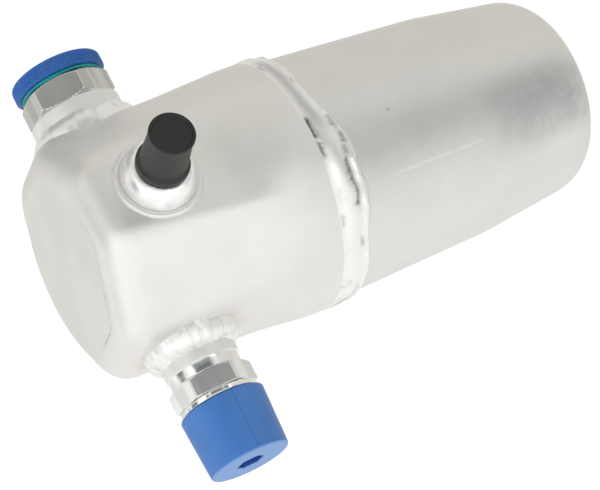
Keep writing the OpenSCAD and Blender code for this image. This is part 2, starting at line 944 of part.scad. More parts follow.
module bag_tie_lower() {
    bag_tie(bag_z + tie_inset);
}

module bag_tie_upper() {
    bag_tie(bag_z + bag_len - tie_inset - tie_w);
}

upper_shell();
lower_shell();
girth_weld();
inlet_fitting();
inlet_weld();
inlet_plug();
inlet_seal();
outlet_fitting();
outlet_weld();
outlet_o_ring();
outlet_cap();
switch_port();
switch_port_weld();
port_cap();
port_cap_seal();
valve_core_body();
valve_core_pin();
valve_core_seal();
valve_core_spring();
u_tube();
deflector_cap();
oil_filter_housing();
oil_filter_screen();
desiccant_bag();
bag_tie_lower();
bag_tie_upper();
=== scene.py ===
"""Looks of a suction line accumulator: satin aluminium can, rippled welds, turned fittings, shipping caps.

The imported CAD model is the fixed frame. Pieces that show are rebuilt here as finer meshes in the same
places; most hidden pieces keep their CAD shape and get a material. Sizes are in millimetres until a mesh is
made; materials, lights and the camera are in metres.
"""

import math

import bpy
import numpy as np
from mathutils import Matrix, Vector


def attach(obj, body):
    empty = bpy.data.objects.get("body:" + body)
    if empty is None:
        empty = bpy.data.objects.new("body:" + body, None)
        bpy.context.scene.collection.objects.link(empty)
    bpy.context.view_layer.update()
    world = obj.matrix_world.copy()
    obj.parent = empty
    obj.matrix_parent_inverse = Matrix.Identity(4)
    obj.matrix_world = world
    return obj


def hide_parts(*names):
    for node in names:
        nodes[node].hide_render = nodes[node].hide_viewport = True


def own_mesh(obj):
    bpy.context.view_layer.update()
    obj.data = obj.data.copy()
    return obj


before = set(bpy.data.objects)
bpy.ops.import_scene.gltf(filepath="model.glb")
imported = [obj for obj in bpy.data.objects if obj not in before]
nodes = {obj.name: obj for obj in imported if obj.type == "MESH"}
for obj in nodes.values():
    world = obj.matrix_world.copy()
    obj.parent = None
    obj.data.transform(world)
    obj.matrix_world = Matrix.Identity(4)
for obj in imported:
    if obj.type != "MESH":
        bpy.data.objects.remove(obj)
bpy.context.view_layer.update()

MM = 0.001
TAU = 2 * math.pi

# Can
CAN_R = 45.0
CAN_H = 195.0
WALL = 2.0
SEAM_Z = 114.0
TOP_CORNER_R = 16.5
DISH_DEPTH = 0.3
LIP_R = 42.9
LIP_TOP_Z = 122.0
BEAD_Z = 103.0
TAPER_R = 40.0
TAPER_Z = 46.0
FOOT_R = 20.0
FOOT_CORNER_R = 16.0
BEAD_R = 45.5

# Open stretches at the girth weld's seam: start angle, end angle and depth
EDGE_GAPS = (
    (-92.6, -84.6, 0.62), (-101.0, -96.4, 0.50), (-133.0, -130.0, 0.22), (-47, -44, 0.25),
    (24, 29, 0.5), (33, 35, 0.4), (71, 80, 0.55), (118, 121, 0.4), (146, 151, 0.5),
)

# Pits above its toe, painted dark as shade in the groove: start angle, end angle, depth and place across
# the bead from 0 to 1
TOE_PITS = (
    (-90.0, -86.5, 0.35, 0.22), (-98.5, -95.0, 0.5, 0.24), (-103.5, -101.0, 0.4, 0.30),
    (-126, -106, 0.62, 0.38), (-146, -143, 0.25, 0.34), (-62, -60, 0.2, 0.3), (12, 19, 0.5, 0.34),
    (48, 50, 0.4, 0.3), (88, 99, 0.6, 0.36), (130, 134, 0.5, 0.34), (165, 171, 0.5, 0.34),
)

# Stretches where its toe lies higher or lower: start angle, end angle and shift
TOE_SHIFTS = ((-72, -40, 2.8), (-122, -100, -1.6), (40, 75, 1.5), (120, 150, -1.0))

# Stretches where it is sunk between its toe and the seam: start and end angle
SUNK_STRETCHES = ((-84, -48), (60, 86), (150, 172))

# Pads and ports
PAD_DEPTH = 5.0
PAD_DIST = CAN_R - PAD_DEPTH
PAD_BOTTOM_Z = 150.0
FADE_Z = 119.0
PAD_BLEND = 3.5
PAD_CORNER_R = 10.0
PRESSED_MIDDLE = -90.0
PRESSED_HALF = 105.0
PRESSED_FADE = 35.0
PORT_Z = 168.6
SWITCH_ANGLE = -84.0
PAD_ANGLES = (0.0, -180.0, SWITCH_ANGLE)
WEB_PRESS = 0.3
WEB_LEAN = 6.0
SPIGOT_GAP = 0.1

# Fittings: positions are distances from the can's axis along a port, turns are in degrees
SPIGOT_END = 35.0
FACE_GAP = 0.05
THREAD_PITCH = 1.814
SWITCH_PITCH = 1.27
INLET_BOSS_R = 16.2
INLET_SPIGOT_R = 11.0
INLET_HEX = 28.6
INLET_HEX_START = 50.6
INLET_END = 60.2
INLET_TURN = 33
INLET_BORE_R = 10.2
INLET_BORE_FLOOR = 45.2
INLET_PASSAGE_R = 8.0
OUTLET_LAND_R = 13.3
OUTLET_LAND_END = 50.2
OUTLET_SPIGOT_R = 10.35
OUTLET_NECK_R = 12.7
OUTLET_HEX = 26.0
OUTLET_HEX_START = 53.8
OUTLET_HEX_END = 61.1
OUTLET_TURN = 15
OUTLET_THREAD_R = 11.1
OUTLET_BORE_R = 5.15
COLLAR_R = 13.8
COLLAR_START = 61.6
COLLAR_END = 63.7
NOSE_R = 8.7
NOSE_START = 74.2
NOSE_END = 79.2
GROOVE_R = 7.2
GROOVE_START = 75.7
GROOVE_END = 77.7
SOCKET_R = 6.4
SOCKET_END = 45.35
SWITCH_BASE_R = 13.0
SWITCH_SPIGOT_R = 8.0
DOME_EDGE = 4.2
DOME_TOP = PAD_DIST + 9.0
STEM_R = 5.55
STEM_END = 62.0
STEM_BORE_R = 2.7

# Caps and seal, placed along their ports in the same way
CAP_FOOT_R = 15.1
CAP_END_R = 14.1
CAP_BORE_R = 11.15
CAP_FOOT = 64.0
CAP_ROOF = 79.5
CAP_RECESS = 83.4
CAP_END = 86.0
PLUG_R = 10.15
PLUG_FLOOR = 48.2
PLUG_INSIDE = 49.8
PLUG_END = 66.7
FLANGE_R = 16.5
FLANGE_START = 61.3
SEAL_R = 14.9
SEAL_HOLE_R = 10.25
SEAL_START = 60.25
SEAL_END = 61.25
PORT_CAP_BORE_R = 5.6
PORT_CAP_FOOT = 49.3
PORT_CAP_ROOF = 66.7
PORT_CAP_END = 68.2
PORT_FLANGE_R = 9.1
PORT_LIP_R = 7.8
PORT_LIP_END = 68.7

# Mould line of the outlet cap, round its axis
SEAM_ANGLE = 92.0
SEAM_SLOPE = -1 / math.tan(math.radians(SEAM_ANGLE))

# Valve spring, placed along the switch port's axis
SPRING_R = 1.4
SPRING_WIRE_R = 0.2
SPRING_TURNS = 4
SPRING_START = 57.0
SPRING_END = 60.3

# Drying bag between the tube's legs, and the heights of its straps' middles
BAG_X = 5.0
BAG_HALF_W = 12.3
BAG_HALF_D = 17.0
BAG_Z = 64.0
BAG_LEN = 54.0
BAG_TIE_Z = (78.5, 103.5)
BAG_POWER = 2.6

# Marks on the lower shell: angles round the can, and the speck's place
SCRATCH_ANGLE = -120.5
TARNISH_ANGLE = -114.0
SPECK_ANGLE = -91.2
SPECK_Z = 83.5
SPECK_R = 41.9


# Grids and meshes


def grid_object(name, grid, wrap_rows=False, start_point=None, end_point=None):
    """A mesh from rows of points that each close round; rows may close too, or end in a fan to a point."""
    rows, count = grid.shape[:2]
    points = [tuple(p) for p in grid.reshape(-1, 3) * MM]
    faces = []
    for i in range(rows if wrap_rows else rows - 1):
        a = i * count
        b = ((i + 1) % rows) * count
        for j in range(count):
            k = (j + 1) % count
            faces.append((a + j, a + k, b + k, b + j))
    for point, row in ((start_point, 0), (end_point, rows - 1)):
        if point is None:
            continue
        centre = len(points)
        points.append(tuple(np.asarray(point, float) * MM))
        for j in range(count):
            k = (j + 1) % count
            a, b = row * count + j, row * count + k
            faces.append((centre, b, a) if row == 0 else (centre, a, b))
    return mesh_object(name, points, faces)


def mesh_object(name, points, faces):
    """A new object with smooth shading, its faces turned outward."""
    mesh = bpy.data.meshes.new(name)
    mesh.from_pydata(points, [], faces)
    mesh.validate()
    piece = bpy.data.objects.new(name, mesh)
    bpy.context.scene.collection.objects.link(piece)
    turn_outward(mesh)
    smooth(mesh)
    return piece


def turn_outward(mesh):
    """Flips all faces of a closed mesh if its volume comes out negative."""
    co = np.empty(len(mesh.vertices) * 3)
    mesh.vertices.foreach_get("co", co)
    co = co.reshape(-1, 3)
    mesh.calc_loop_triangles()
    tri = np.empty(len(mesh.loop_triangles) * 3, int)
    mesh.loop_triangles.foreach_get("vertices", tri)
    a, b, c = (co[tri.reshape(-1, 3)[:, i]] for i in range(3))
    if (a * np.cross(b, c)).sum() < 0:
        mesh.flip_normals()


def smooth(mesh, angle=32.0):
    """Smooth shading with sharp edges where faces meet at more than the angle, in degrees."""
    mesh.polygons.foreach_set("use_smooth", [True] * len(mesh.polygons))
    mesh.set_sharp_from_angle(angle=math.radians(angle))


def ease(t):
    t = np.clip(t, 0.0, 1.0)
    return t * t * (3 - 2 * t)


def soft_min(a, b, k):
    """The lesser of two lengths, with a soft corner of size k where they meet."""
    m = np.maximum(k - np.abs(a - b), 0.0) / k
    return np.minimum(a, b) - m * m * k / 4


def fillet(corners, steps=4, closed=False):
    """A profile of (radius, position, rounding) corners as points, each corner rounded by its radius."""
    count = len(corners)
    out = []
    for i, (r, z, rounding) in enumerate(corners):
        here = np.array([r, z])
        ends = not closed and i in (0, count - 1)
        if ends or rounding <= 0:
            out.append(here)
            continue
        before = np.array(corners[i - 1][:2]) - here
        after = np.array(corners[(i + 1) % count][:2]) - here
        len_a, len_b = np.linalg.norm(before), np.linalg.norm(after)
        before, after = before / len_a, after / len_b
        half = math.acos(float(np.clip(before @ after, -1, 1))) / 2
        reach = min(rounding / math.tan(half), len_a * 0.49, len_b * 0.49)
        p, q = here + before * reach, here + after * reach
        for s in range(steps + 1):
            t = s / steps
            out.append((1 - t) ** 2 * p + 2 * t * (1 - t) * here + t * t * q)
    return np.array(out)


def refine(profile, longest, closed=False):
    """Adds points so that no step of a profile is longer than the limit."""
    out = []
    count = len(profile)
    for i in range(count if closed else count - 1):
        a, b = profile[i], profile[(i + 1) % count]
        n = max(1, math.ceil(np.linalg.norm(b - a) / longest))
        out += [a + (b - a) * s / n for s in range(n)]
    if not closed:
        out.append(profile[-1])
    return np.array(out)


def ring_angles(count):
    return np.arange(count) * TAU / count


def around(radius, theta, z):
    """Points round the can's axis at a radius, angle and height."""
    return np.stack(np.broadcast_arrays(radius * np.cos(theta), radius * np.sin(theta), z), -1)


def on_port(angle, radius, theta, position):
    """Points round a port's axis: position is the distance from the can's axis along the port."""
    radius, theta, position = np.broadcast_arrays(radius, theta, position)
    local_y = radius * np.sin(theta)
    a = math.radians(angle)
    x = position * math.cos(a) - local_y * math.sin(a)
    y = position * math.sin(a) + local_y * math.cos(a)
    return np.stack([x, y, PORT_Z - radius * np.cos(theta)], -1)


def turned_grid(angle, profile, count):
    """Rows of points for a profile of radius and position turned about a port's axis."""
    theta = ring_angles(count)[None, :]
    return on_port(angle, profile[:, 0, None], theta, profile[:, 1, None])


# Upper shell


def web_flat(first, second):
    """The flat between two neighbouring pads: a chord from pad edge to pad edge, leaning in to the top."""
    half_gap = abs(second - first) / 2 - math.degrees(math.acos(PAD_DIST / CAN_R))
    chord = CAN_R * math.cos(math.radians(half_gap))
    return (first + second) / 2, chord - WEB_PRESS, math.tan(math.radians(WEB_LEAN))


FLATS = [(angle, PAD_DIST, 0.0) for angle in PAD_ANGLES]
FLATS += [web_flat(0.0, SWITCH_ANGLE), web_flat(SWITCH_ANGLE, -180.0)]


def flat_limit(angle, z, flat, inset):
    """How far out one flat lets the wall reach in one direction at a height."""
    middle, dist, lean = flat
    c = np.cos(angle - math.radians(middle))
    here = dist - lean * (z - PAD_BOTTOM_Z) - inset
    return np.where(c > 0.2, here / np.maximum(c, 0.2), 4 * CAN_R)


def wall_radius(angle, z, inset):
    """Radius of the upper shell's wall at an angle and height, its outline moved in by the inset."""
    round_r = CAN_R - inset
    pressed = np.broadcast_to(round_r, np.broadcast(angle, z, inset).shape)
    for flat in FLATS:
        pressed = soft_min(pressed, flat_limit(angle, z, flat, inset), PAD_BLEND)
    return round_r - ease((z - FADE_Z) / (PAD_BOTTOM_Z - FADE_Z)) * (round_r - pressed)


def corner_radius(angle):
    """Radius of the shell's top corner: tight on the pressed side, wide at the back."""
    away = np.abs(np.mod(np.degrees(angle) - PRESSED_MIDDLE + 180, 360) - 180)
    return PAD_CORNER_R + (TOP_CORNER_R - PAD_CORNER_R) * ease((away - PRESSED_HALF) / PRESSED_FADE)


def shell_sheet(depth, wall_rows, corner_rows, count):
    """Rows of points of the upper shell's surface moved in by depth, from the open edge over the corner."""
    angle = ring_angles(count)[None, :]
    corner = corner_radius(angle)
    start_z = CAN_H - corner
    climb = np.linspace(0, 1, wall_rows, endpoint=False)[:, None]
    wall_z = SEAM_Z + (start_z - SEAM_Z) * climb
    a = np.linspace(0, math.pi / 2, corner_rows)[:, None]
    z = np.concatenate([wall_z, start_z + (corner - depth) * np.sin(a)])
    inset = np.concatenate([np.full_like(wall_z, depth), depth + (corner - depth) * (1 - np.cos(a))])
    return around(wall_radius(angle, z, inset), angle, z)


def make_upper_shell():
    """Drawn can with three pads, a rounded rim and a faintly dished top."""
    count = 360
    outer = shell_sheet(0.0, 48, 24, count)
    inner = shell_sheet(WALL, 16, 10, count)
    edge = 0.45
    rim = []
    for lift, back in ((0.0, edge), (0.0, 0.4 * edge), (0.4 * edge, 0.0)):
        ring = outer[0] * [1 - back / CAN_R, 1 - back / CAN_R, 1]
        rim.append(ring + [0, 0, lift])
    outer[1, :, 2] = np.maximum(outer[1, :, 2], SEAM_Z + edge)
    theta = ring_angles(count)
    seen = ease((np.degrees(theta) - 150) / 30) * ease((290 - np.degrees(theta)) / 30)
    dish = DISH_DEPTH * (0.25 + 0.75 * seen)
    top = []
    for share in (0.995, 0.985, 0.97, 0.955, 0.94, 0.9, 0.8, 0.68, 0.54, 0.4, 0.26, 0.12):
        row = outer[-1] * [share, share, 1]
        row[:, 2] -= dish * ease((0.99 - share) / 0.04)
        top.append(row)
    under = np.stack([inner[-1] * [s, s, 1] for s in np.linspace(0, 1, 12)[1:]])
    grid = np.concatenate([under, inner[::-1], np.stack(rim), outer[1:], np.stack(top)])
    dish_z = CAN_H - float(dish.mean())
    shell = grid_object("shell_upper", grid, start_point=(0, 0, CAN_H - WALL), end_point=(0, 0, dish_z))
    # Painted shade: a broken dark line along the crease at the top face's edge, on the front side.
    dirt_and_shade = np.zeros((len(grid), count))
    rng = np.random.default_rng(15)
    broken = np.clip(0.65 + 0.45 * smooth_noise(theta, rng, (17, 23, 31, 47)), 0.1, 1.0)
    dirt_and_shade[-len(top) + 1] = broken * arc_mask(theta, -178, -88, 14.0)
    set_soot_and_shade(shell, np.append(dirt_and_shade.ravel(), [0.0, 0.0]))
    for angle, radius in ((0, INLET_SPIGOT_R), (180, OUTLET_SPIGOT_R), (SWITCH_ANGLE, SWITCH_SPIGOT_R)):
        cut_hole(shell, angle, radius + SPIGOT_GAP)
    smooth(shell.data)
    return shell


def cut_hole(piece, angle, radius):
    """Cuts a port's hole through the shell's wall with a boolean."""
    near, far = 20.0, 60.0
    bar = grid_object(
        "cutter",
        turned_grid(angle, np.array([[radius, near], [radius, far]]), 128),
        start_point=on_port(angle, 0, 0, near),
        end_point=on_port(angle, 0, 0, far),
    )
    cut = piece.modifiers.new("hole", "BOOLEAN")
    cut.operation = "DIFFERENCE"
    cut.solver = "EXACT"
    cut.object = bar
    apply_modifiers(piece)
    bpy.data.objects.remove(bar)


def apply_modifiers(piece):
    """Replaces a piece's mesh by its evaluated one and drops the modifiers."""
    evaluated = piece.evaluated_get(bpy.context.evaluated_depsgraph_get())
    mesh = bpy.data.meshes.new_from_object(evaluated)
    piece.modifiers.clear()
    piece.data = mesh
    mesh.name = piece.name


# Lower shell and girth weld


def lower_profile(depth):
    """Profile of the lower shell, its surface moved in by depth."""
    reach = math.hypot(TAPER_R - FOOT_R, TAPER_Z - FOOT_CORNER_R)
    lean = math.atan2(TAPER_Z - FOOT_CORNER_R, TAPER_R - FOOT_R) - math.acos(FOOT_CORNER_R / reach)
    r = FOOT_CORNER_R - depth
    a = np.linspace(-math.pi / 2, lean, 28)
    foot = np.stack([FOOT_R + r * np.cos(a), FOOT_CORNER_R + r * np.sin(a)], -1)
    upper = fillet([
        (*foot[-1], 0),
        (TAPER_R - depth, TAPER_Z, 60),
        (LIP_R - depth, BEAD_Z, 20),
        (LIP_R - depth, LIP_TOP_Z, 0),
    ], steps=10)
    return np.concatenate([[[8.0, depth]], foot, upper[1:]])


def make_lower_shell():
    outer = lower_profile(0.0)
    inner = lower_profile(WALL)
    profile = np.concatenate([refine(outer, 4.0), refine(inner[::-1], 6.0)])
    grid = around(profile[:, 0, None], ring_angles(288), profile[:, 1, None])
    return grid_object("shell_lower", grid, start_point=(0, 0, 0), end_point=(0, 0, WALL))


def arc_mask(theta, start, end, soft):
    """1 on a stretch of the ring between two angles in degrees, 0 elsewhere, with soft ends."""
    middle, half = (start + end) / 2, abs(end - start) / 2
    away = np.abs(np.mod(np.degrees(theta) - middle + 180, 360) - 180)
    return ease((half + soft - away) / soft)


def bump_row(h, centre, width):
    return math.exp(-((h - centre) / width) ** 2)


def make_girth_weld():
    """A smooth bead of uneven width with open stretches at the seam and a rough groove above its toe."""
    count = 960
    rng = np.random.default_rng(7)
    theta = ring_angles(count)
    wander = smooth_noise(theta, rng, (3, 5, 9, 14))
    wave = smooth_noise(theta, rng, (17, 23, 29, 41))
    rough = smooth_noise(theta, rng, (61, 83, 97, 131, 173, 211))
    fine = smooth_noise(theta, rng, (151, 197, 233, 281))
    gap = np.zeros(count)
    for start, end, depth in EDGE_GAPS:
        gap = np.maximum(gap, depth * arc_mask(theta, start, end, 2.4))
    gap = gap * np.clip(0.88 + 0.14 * rough, 0.3, 1.0)
    sunk = sum(arc_mask(theta, start, end, 14.0) for start, end in SUNK_STRETCHES)
    toe_z = BEAD_Z + 0.5 * wander + 0.2 * wave + 0.12 * rough
    for start, end, shift in TOE_SHIFTS:
        toe_z = toe_z + shift * arc_mask(theta, start, end, 22.0)
    root = LIP_R + 0.03
    top_z = SEAM_Z + 0.9
    rows, soot_and_shade = [], []
    for h in np.linspace(0, 1, 46):
        climb = np.sin(np.pi / 2 * min(h / 0.60, 1.0)) ** 0.8
        body = root + (BEAD_R - root) * climb - (BEAD_R - CAN_R - 0.03) * ease((h - 0.55) / 0.45)
        toe = (0.55 + 0.15 * wave + 0.06 * rough) * bump_row(h, 0.14, 0.08)
        valley = (0.36 + 0.14 * wave + 0.03 * fine) * bump_row(h, 0.36, 0.10)
        valley = valley + 0.48 * sunk * bump_row(h, 0.60, 0.20)
        crown = (0.10 + 0.08 * wander + 0.04 * wave) * bump_row(h, 0.70, 0.13)
        hollow = np.zeros(count)
        for start, end, depth, place in TOE_PITS:
            width = 0.078 + 0.014 * wave + 0.008 * fine
            pit = depth * arc_mask(theta, start, end, 2.0) * np.clip(0.8 + 0.2 * rough, 0.3, 1.0)
            off = h - place - 0.02 * wave - 0.006 * rough
            hollow = np.maximum(hollow, pit * np.exp(-(off / width) ** 2))
        width = 0.045 + 0.055 * gap + 0.003 * rough
        edge_gap = gap * np.exp(-((h - 0.905 - 0.012 * wave) / width) ** 2)
        r = body + toe - valley + crown - 0.38 * hollow - 0.7 * edge_gap
        r = root + (r - root) * min(h / 0.03, 1.0)
        z = toe_z + (top_z - toe_z) * h
        rows.append(around(r, theta, z))
        # Painted shade: the film darkens the sunk stretches, and the seam's gaps and the toe's pits are
        # painted dark.
        film = 0.34 * sunk * bump_row(h, 0.62, 0.24)
        soot_and_shade.append(np.clip(hollow * 1.15 + edge_gap * 1.45 + film, 0, 0.85))
    inside = [
        (CAN_R - 0.1, top_z - 0.05), (CAN_R - 0.4, SEAM_Z), (root, SEAM_Z),
        (root, (SEAM_Z + toe_z) / 2), (root, toe_z),
    ]
    for r, z in inside:
        rows.append(around(r, theta, z))
        soot_and_shade.append(np.zeros(count))
    weld = grid_object("weld_girth", np.stack(rows), wrap_rows=True)
    set_soot_and_shade(weld, np.stack(soot_and_shade))
    return weld


def set_soot_and_shade(piece, amounts):
    """Keeps the soot and painted shade on each point of a piece, for its material."""
    layer = piece.data.attributes.new("soot_and_shade", "FLOAT", "POINT")
    layer.data.foreach_set("value", np.ascontiguousarray(amounts, dtype=np.float32).ravel())


def smooth_noise(theta, rng, waves):
    """A periodic noise round a ring from a few waves with seeded phases, about -1 to 1."""
    out = np.zeros_like(theta)
    for n in waves:
        out = out + rng.uniform(0.5, 1.0) * np.sin(n * theta + rng.uniform(0, TAU))
    return out / len(waves) ** 0.5


# Welds on the pads


def pad_surface(angle, radius, theta):
    """Position along a port's axis where a line parallel to it meets the upper shell's outside."""
    low = np.full(np.broadcast(radius, theta).shape, CAN_R / 3)
    high = np.full(low.shape, CAN_R + 1.0)
    for _ in range(40):
        mid = (low + high) / 2
        p = on_port(angle, radius, theta, mid)
        z = p[..., 2]
        direction = np.arctan2(p[..., 1], p[..., 0])
        corner = corner_radius(direction)
        over = np.clip(z - (CAN_H - corner), 0, corner)
        inset = corner - np.sqrt(np.maximum(corner ** 2 - over ** 2, 0))
        inside = np.hypot(p[..., 0], p[..., 1]) < wall_radius(direction, z, inset)
        low = np.where(inside, mid, low)
        high = np.where(inside, high, mid)
    return (low + high) / 2


def make_fillet_weld(name, angle, boss_r, width, height, ripples, depth, seed, bulge=0.55, dirt_and_shade=0.0):
    """A fillet weld that follows the pad round a boss, with fish-scale ripples across it."""
    count = 720
    rng = np.random.default_rng(seed)
    theta = ring_angles(count)
    wander = smooth_noise(theta, rng, (2, 3, 5, 8))
    swing = smooth_noise(theta, rng, (11, 17, 23, 31))
    rough = smooth_noise(theta, rng, (43, 67, 89, 121, 157))
    root = boss_r + 0.03
    toe_r = root + width * (1 + 0.07 * wander + 0.03 * swing)
    top = height * (1 + 0.05 * np.roll(wander, 232) + 0.025 * swing)
    base = pad_surface(angle, toe_r, theta)
    inner_base = pad_surface(angle, np.full(count, root), theta)
    head = np.maximum(PAD_DIST, inner_base) + top
    slope = np.arctan2(head - base, toe_r - root)
    span = np.hypot(toe_r - root, head - base)
    rows, soot_and_shade = [], []
    steps = 22
    for i in range(steps + 1):
        t = i / steps
        r = toe_r + (root - toe_r) * t
        line = base + (head - base) * t
        arch = 10.0 * (t - 0.45) ** 2
        phase = theta * ripples / 2 + arch + wander * 1.4 + swing * 0.6
        scales = depth * (2 * np.abs(np.sin(phase)) - 1.2) * (0.75 + 0.5 * swing)
        ripple = (scales + 0.35 * depth * rough) * math.sin(math.pi * t) ** 0.6
        lift = bulge * math.sin(math.pi * t) * span / 4 + ripple
        outward = np.maximum(r + lift * np.sin(slope), root)
        rows.append(on_port(angle, outward, theta, line + lift * np.cos(slope)))
        soot_and_shade.append(dirt_and_shade * np.clip(0.4 * rough + 0.5 * swing - 0.1, 0, 1) * math.sin(math.pi * t) ** 0.5)
    under = [on_port(angle, root, theta, inner_base + 0.02)]
    for t in (0.33, 0.66):
        r = root + (toe_r - root) * t
        under.append(on_port(angle, r, theta, pad_surface(angle, r, theta) + 0.02))
    grid = np.concatenate([np.stack(rows), np.stack(under)])
    weld = grid_object(name, grid, wrap_rows=True)
    set_soot_and_shade(weld, np.concatenate([np.stack(soot_and_shade), np.zeros((len(under), count))]))
    return weld


# Fittings


def hex_radius(flats, turn, theta, corner=0.5):
    """Radius of a hexagon with softened corners in a direction."""
    step = TAU / 6
    t = np.mod(theta - math.radians(turn), step) - step / 2
    a = flats / 2 / np.cos(t)
    b = flats / 2 / np.cos(np.abs(t) - step)
    return soft_min(a, b, corner)


def hexagon_rows(flats, start, end, turn, theta, chamfer_start, chamfer_end, steps=28):
    """Rows of radius and position for a hexagon whose corners are turned off at the marked ends."""
    across = hex_radius(flats, turn, theta)
    slope = math.tan(math.radians(30))
    rows = []
    t = np.linspace(0, 1, steps)
    shape = 0.5 - 0.5 * np.cos(np.pi * t)
    for s in shape:
        z = start + (end - start) * s
        limit = np.full_like(theta, flats)
        if chamfer_start:
            limit = np.minimum(limit, flats / 2 - 0.1 + (z - start) / slope)
        if chamfer_end:
            limit = np.minimum(limit, flats / 2 - 0.1 + (end - z) / slope)
        rows.append((soft_min(across, limit, 0.35), z))
    return rows


def thread_rows(radius, depth, pitch, start, end, theta, outward, steps_per_turn=8):
    """Rows of a screw thread between two positions, fading at both ends; the crest has the given radius."""
    count = max(2, int((end - start) / pitch * steps_per_turn))
    rows = []
    for z in np.linspace(start, end, count):
        phase = np.mod(z / pitch - theta / TAU, 1.0)
        v = np.clip(np.abs(phase - 0.5) * 2.6 - 0.2, 0, 1)
        fade = ease((z - start) / pitch) * ease((end - z) / pitch)
        rows.append((radius + (depth if outward else -depth) * v * fade, z))
    return rows


def rows_grid(angle, rows, theta):
    return np.stack([on_port(angle, r, theta, z) for r, z in rows])


def closed_rows(name, angle, rows, theta):
    """A piece from rows about a port, closed by a fan to the axis at the first and the last row."""
    ends = [on_port(angle, 0, 0, rows[i][1]) for i in (0, -1)]
    return grid_object(name, rows_grid(angle, rows, theta), start_point=ends[0], end_point=ends[1])


def profile_rows(corners, steps=4, longest=2.4):
    """Rows of constant radius from a profile of (radius, position, rounding) corners."""
    return list(refine(fillet(corners, steps), longest))


def make_inlet_fitting():
    """Round boss with a rounded shoulder, hexagon with turned-off corners, threaded bore."""
    theta = ring_angles(360)
    rows = profile_rows([
        (INLET_SPIGOT_R, SPIGOT_END, 0), (INLET_SPIGOT_R, PAD_DIST - FACE_GAP, 0),
        (INLET_BOSS_R, PAD_DIST, 0), (INLET_BOSS_R, INLET_HEX_START, 2.0),
        (INLET_HEX / 2 - 0.1, INLET_HEX_START, 0),
    ], steps=8)
    rows += hexagon_rows(INLET_HEX, INLET_HEX_START, INLET_END, INLET_TURN, theta, True, True)
    rows += profile_rows([
        (INLET_HEX / 2 - 0.7, INLET_END, 0), (INLET_BORE_R + 1.0, INLET_END, 0.3),
        (INLET_BORE_R + 0.05, INLET_END - 1.0, 0.2), (INLET_BORE_R, INLET_END - 1.4, 0),
    ])
    start, end = INLET_BORE_FLOOR + 1.3, INLET_END - 1.6
    rows += thread_rows(INLET_BORE_R, 0.85, THREAD_PITCH, start, end, theta, True)[::-1]
    rows += profile_rows([
        (INLET_BORE_R, start - 0.5, 0), (INLET_BORE_R, INLET_BORE_FLOOR, 0.3),
        (INLET_PASSAGE_R, INLET_BORE_FLOOR, 0.3), (INLET_PASSAGE_R, SPIGOT_END, 0),
    ])
    return grid_object("inlet_body", rows_grid(0, rows, theta), wrap_rows=True)


def make_outlet_fitting():
    """Land, narrower neck, hexagon, rounded collar, thread, pilot nose with an O-ring groove."""
    theta = ring_angles(360)
    rows = profile_rows([
        (OUTLET_SPIGOT_R, SPIGOT_END, 0), (OUTLET_SPIGOT_R, PAD_DIST - FACE_GAP, 0),
        (OUTLET_LAND_R, PAD_DIST, 0), (OUTLET_LAND_R, OUTLET_LAND_END, 0.35),
        (OUTLET_NECK_R, OUTLET_LAND_END + 0.1, 0.15), (OUTLET_NECK_R, OUTLET_HEX_START - 0.05, 0),
    ])
    rows += hexagon_rows(OUTLET_HEX, OUTLET_HEX_START, OUTLET_HEX_END, OUTLET_TURN, theta, True, False)
    hex_end = hex_radius(OUTLET_HEX, OUTLET_TURN, theta)
    rows += [(hex_end - 0.12, OUTLET_HEX_END + 0.2), (hex_end - 0.45, OUTLET_HEX_END + 0.3)]
    rows += profile_rows([
        (OUTLET_NECK_R, OUTLET_HEX_END + 0.3, 0), (OUTLET_NECK_R, COLLAR_START, 0.1),
        (COLLAR_R, COLLAR_START, 1.0), (COLLAR_R, COLLAR_END, 1.0), (12.4, COLLAR_END, 0),
        (10.5, COLLAR_END, 0), (10.5, COLLAR_END + 0.4, 0),
    ], steps=8)
    uneven = 0.05 * np.sin(13 * theta + 1.0) + 0.03 * np.sin(29 * theta)
    low, high, near = COLLAR_START + 0.1, COLLAR_END - 0.1, OUTLET_NECK_R + 0.1
    rows = [(r + uneven if low < z < high and np.min(r) > near else r, z) for r, z in rows]
    start, end = COLLAR_END + 0.6, NOSE_START - 0.6
    rows += thread_rows(OUTLET_THREAD_R, 0.95, THREAD_PITCH, start, end, theta, False)
    rows += profile_rows([
        (10.3, NOSE_START - 0.4, 0), (9.9, NOSE_START, 0.3), (NOSE_R, NOSE_START, 0.2),
        (NOSE_R, GROOVE_START, 0.15), (GROOVE_R, GROOVE_START, 0.2), (GROOVE_R, GROOVE_END, 0.2),
        (NOSE_R, GROOVE_END, 0.15), (NOSE_R, NOSE_END - 0.5, 0.2), (NOSE_R - 0.5, NOSE_END, 0.2),
        (OUTLET_BORE_R, NOSE_END, 0.3), (OUTLET_BORE_R, SOCKET_END, 0.1), (SOCKET_R, SOCKET_END, 0.1),
        (SOCKET_R, SPIGOT_END, 0),
    ])
    return grid_object("outlet_body", rows_grid(180, rows, theta), wrap_rows=True)


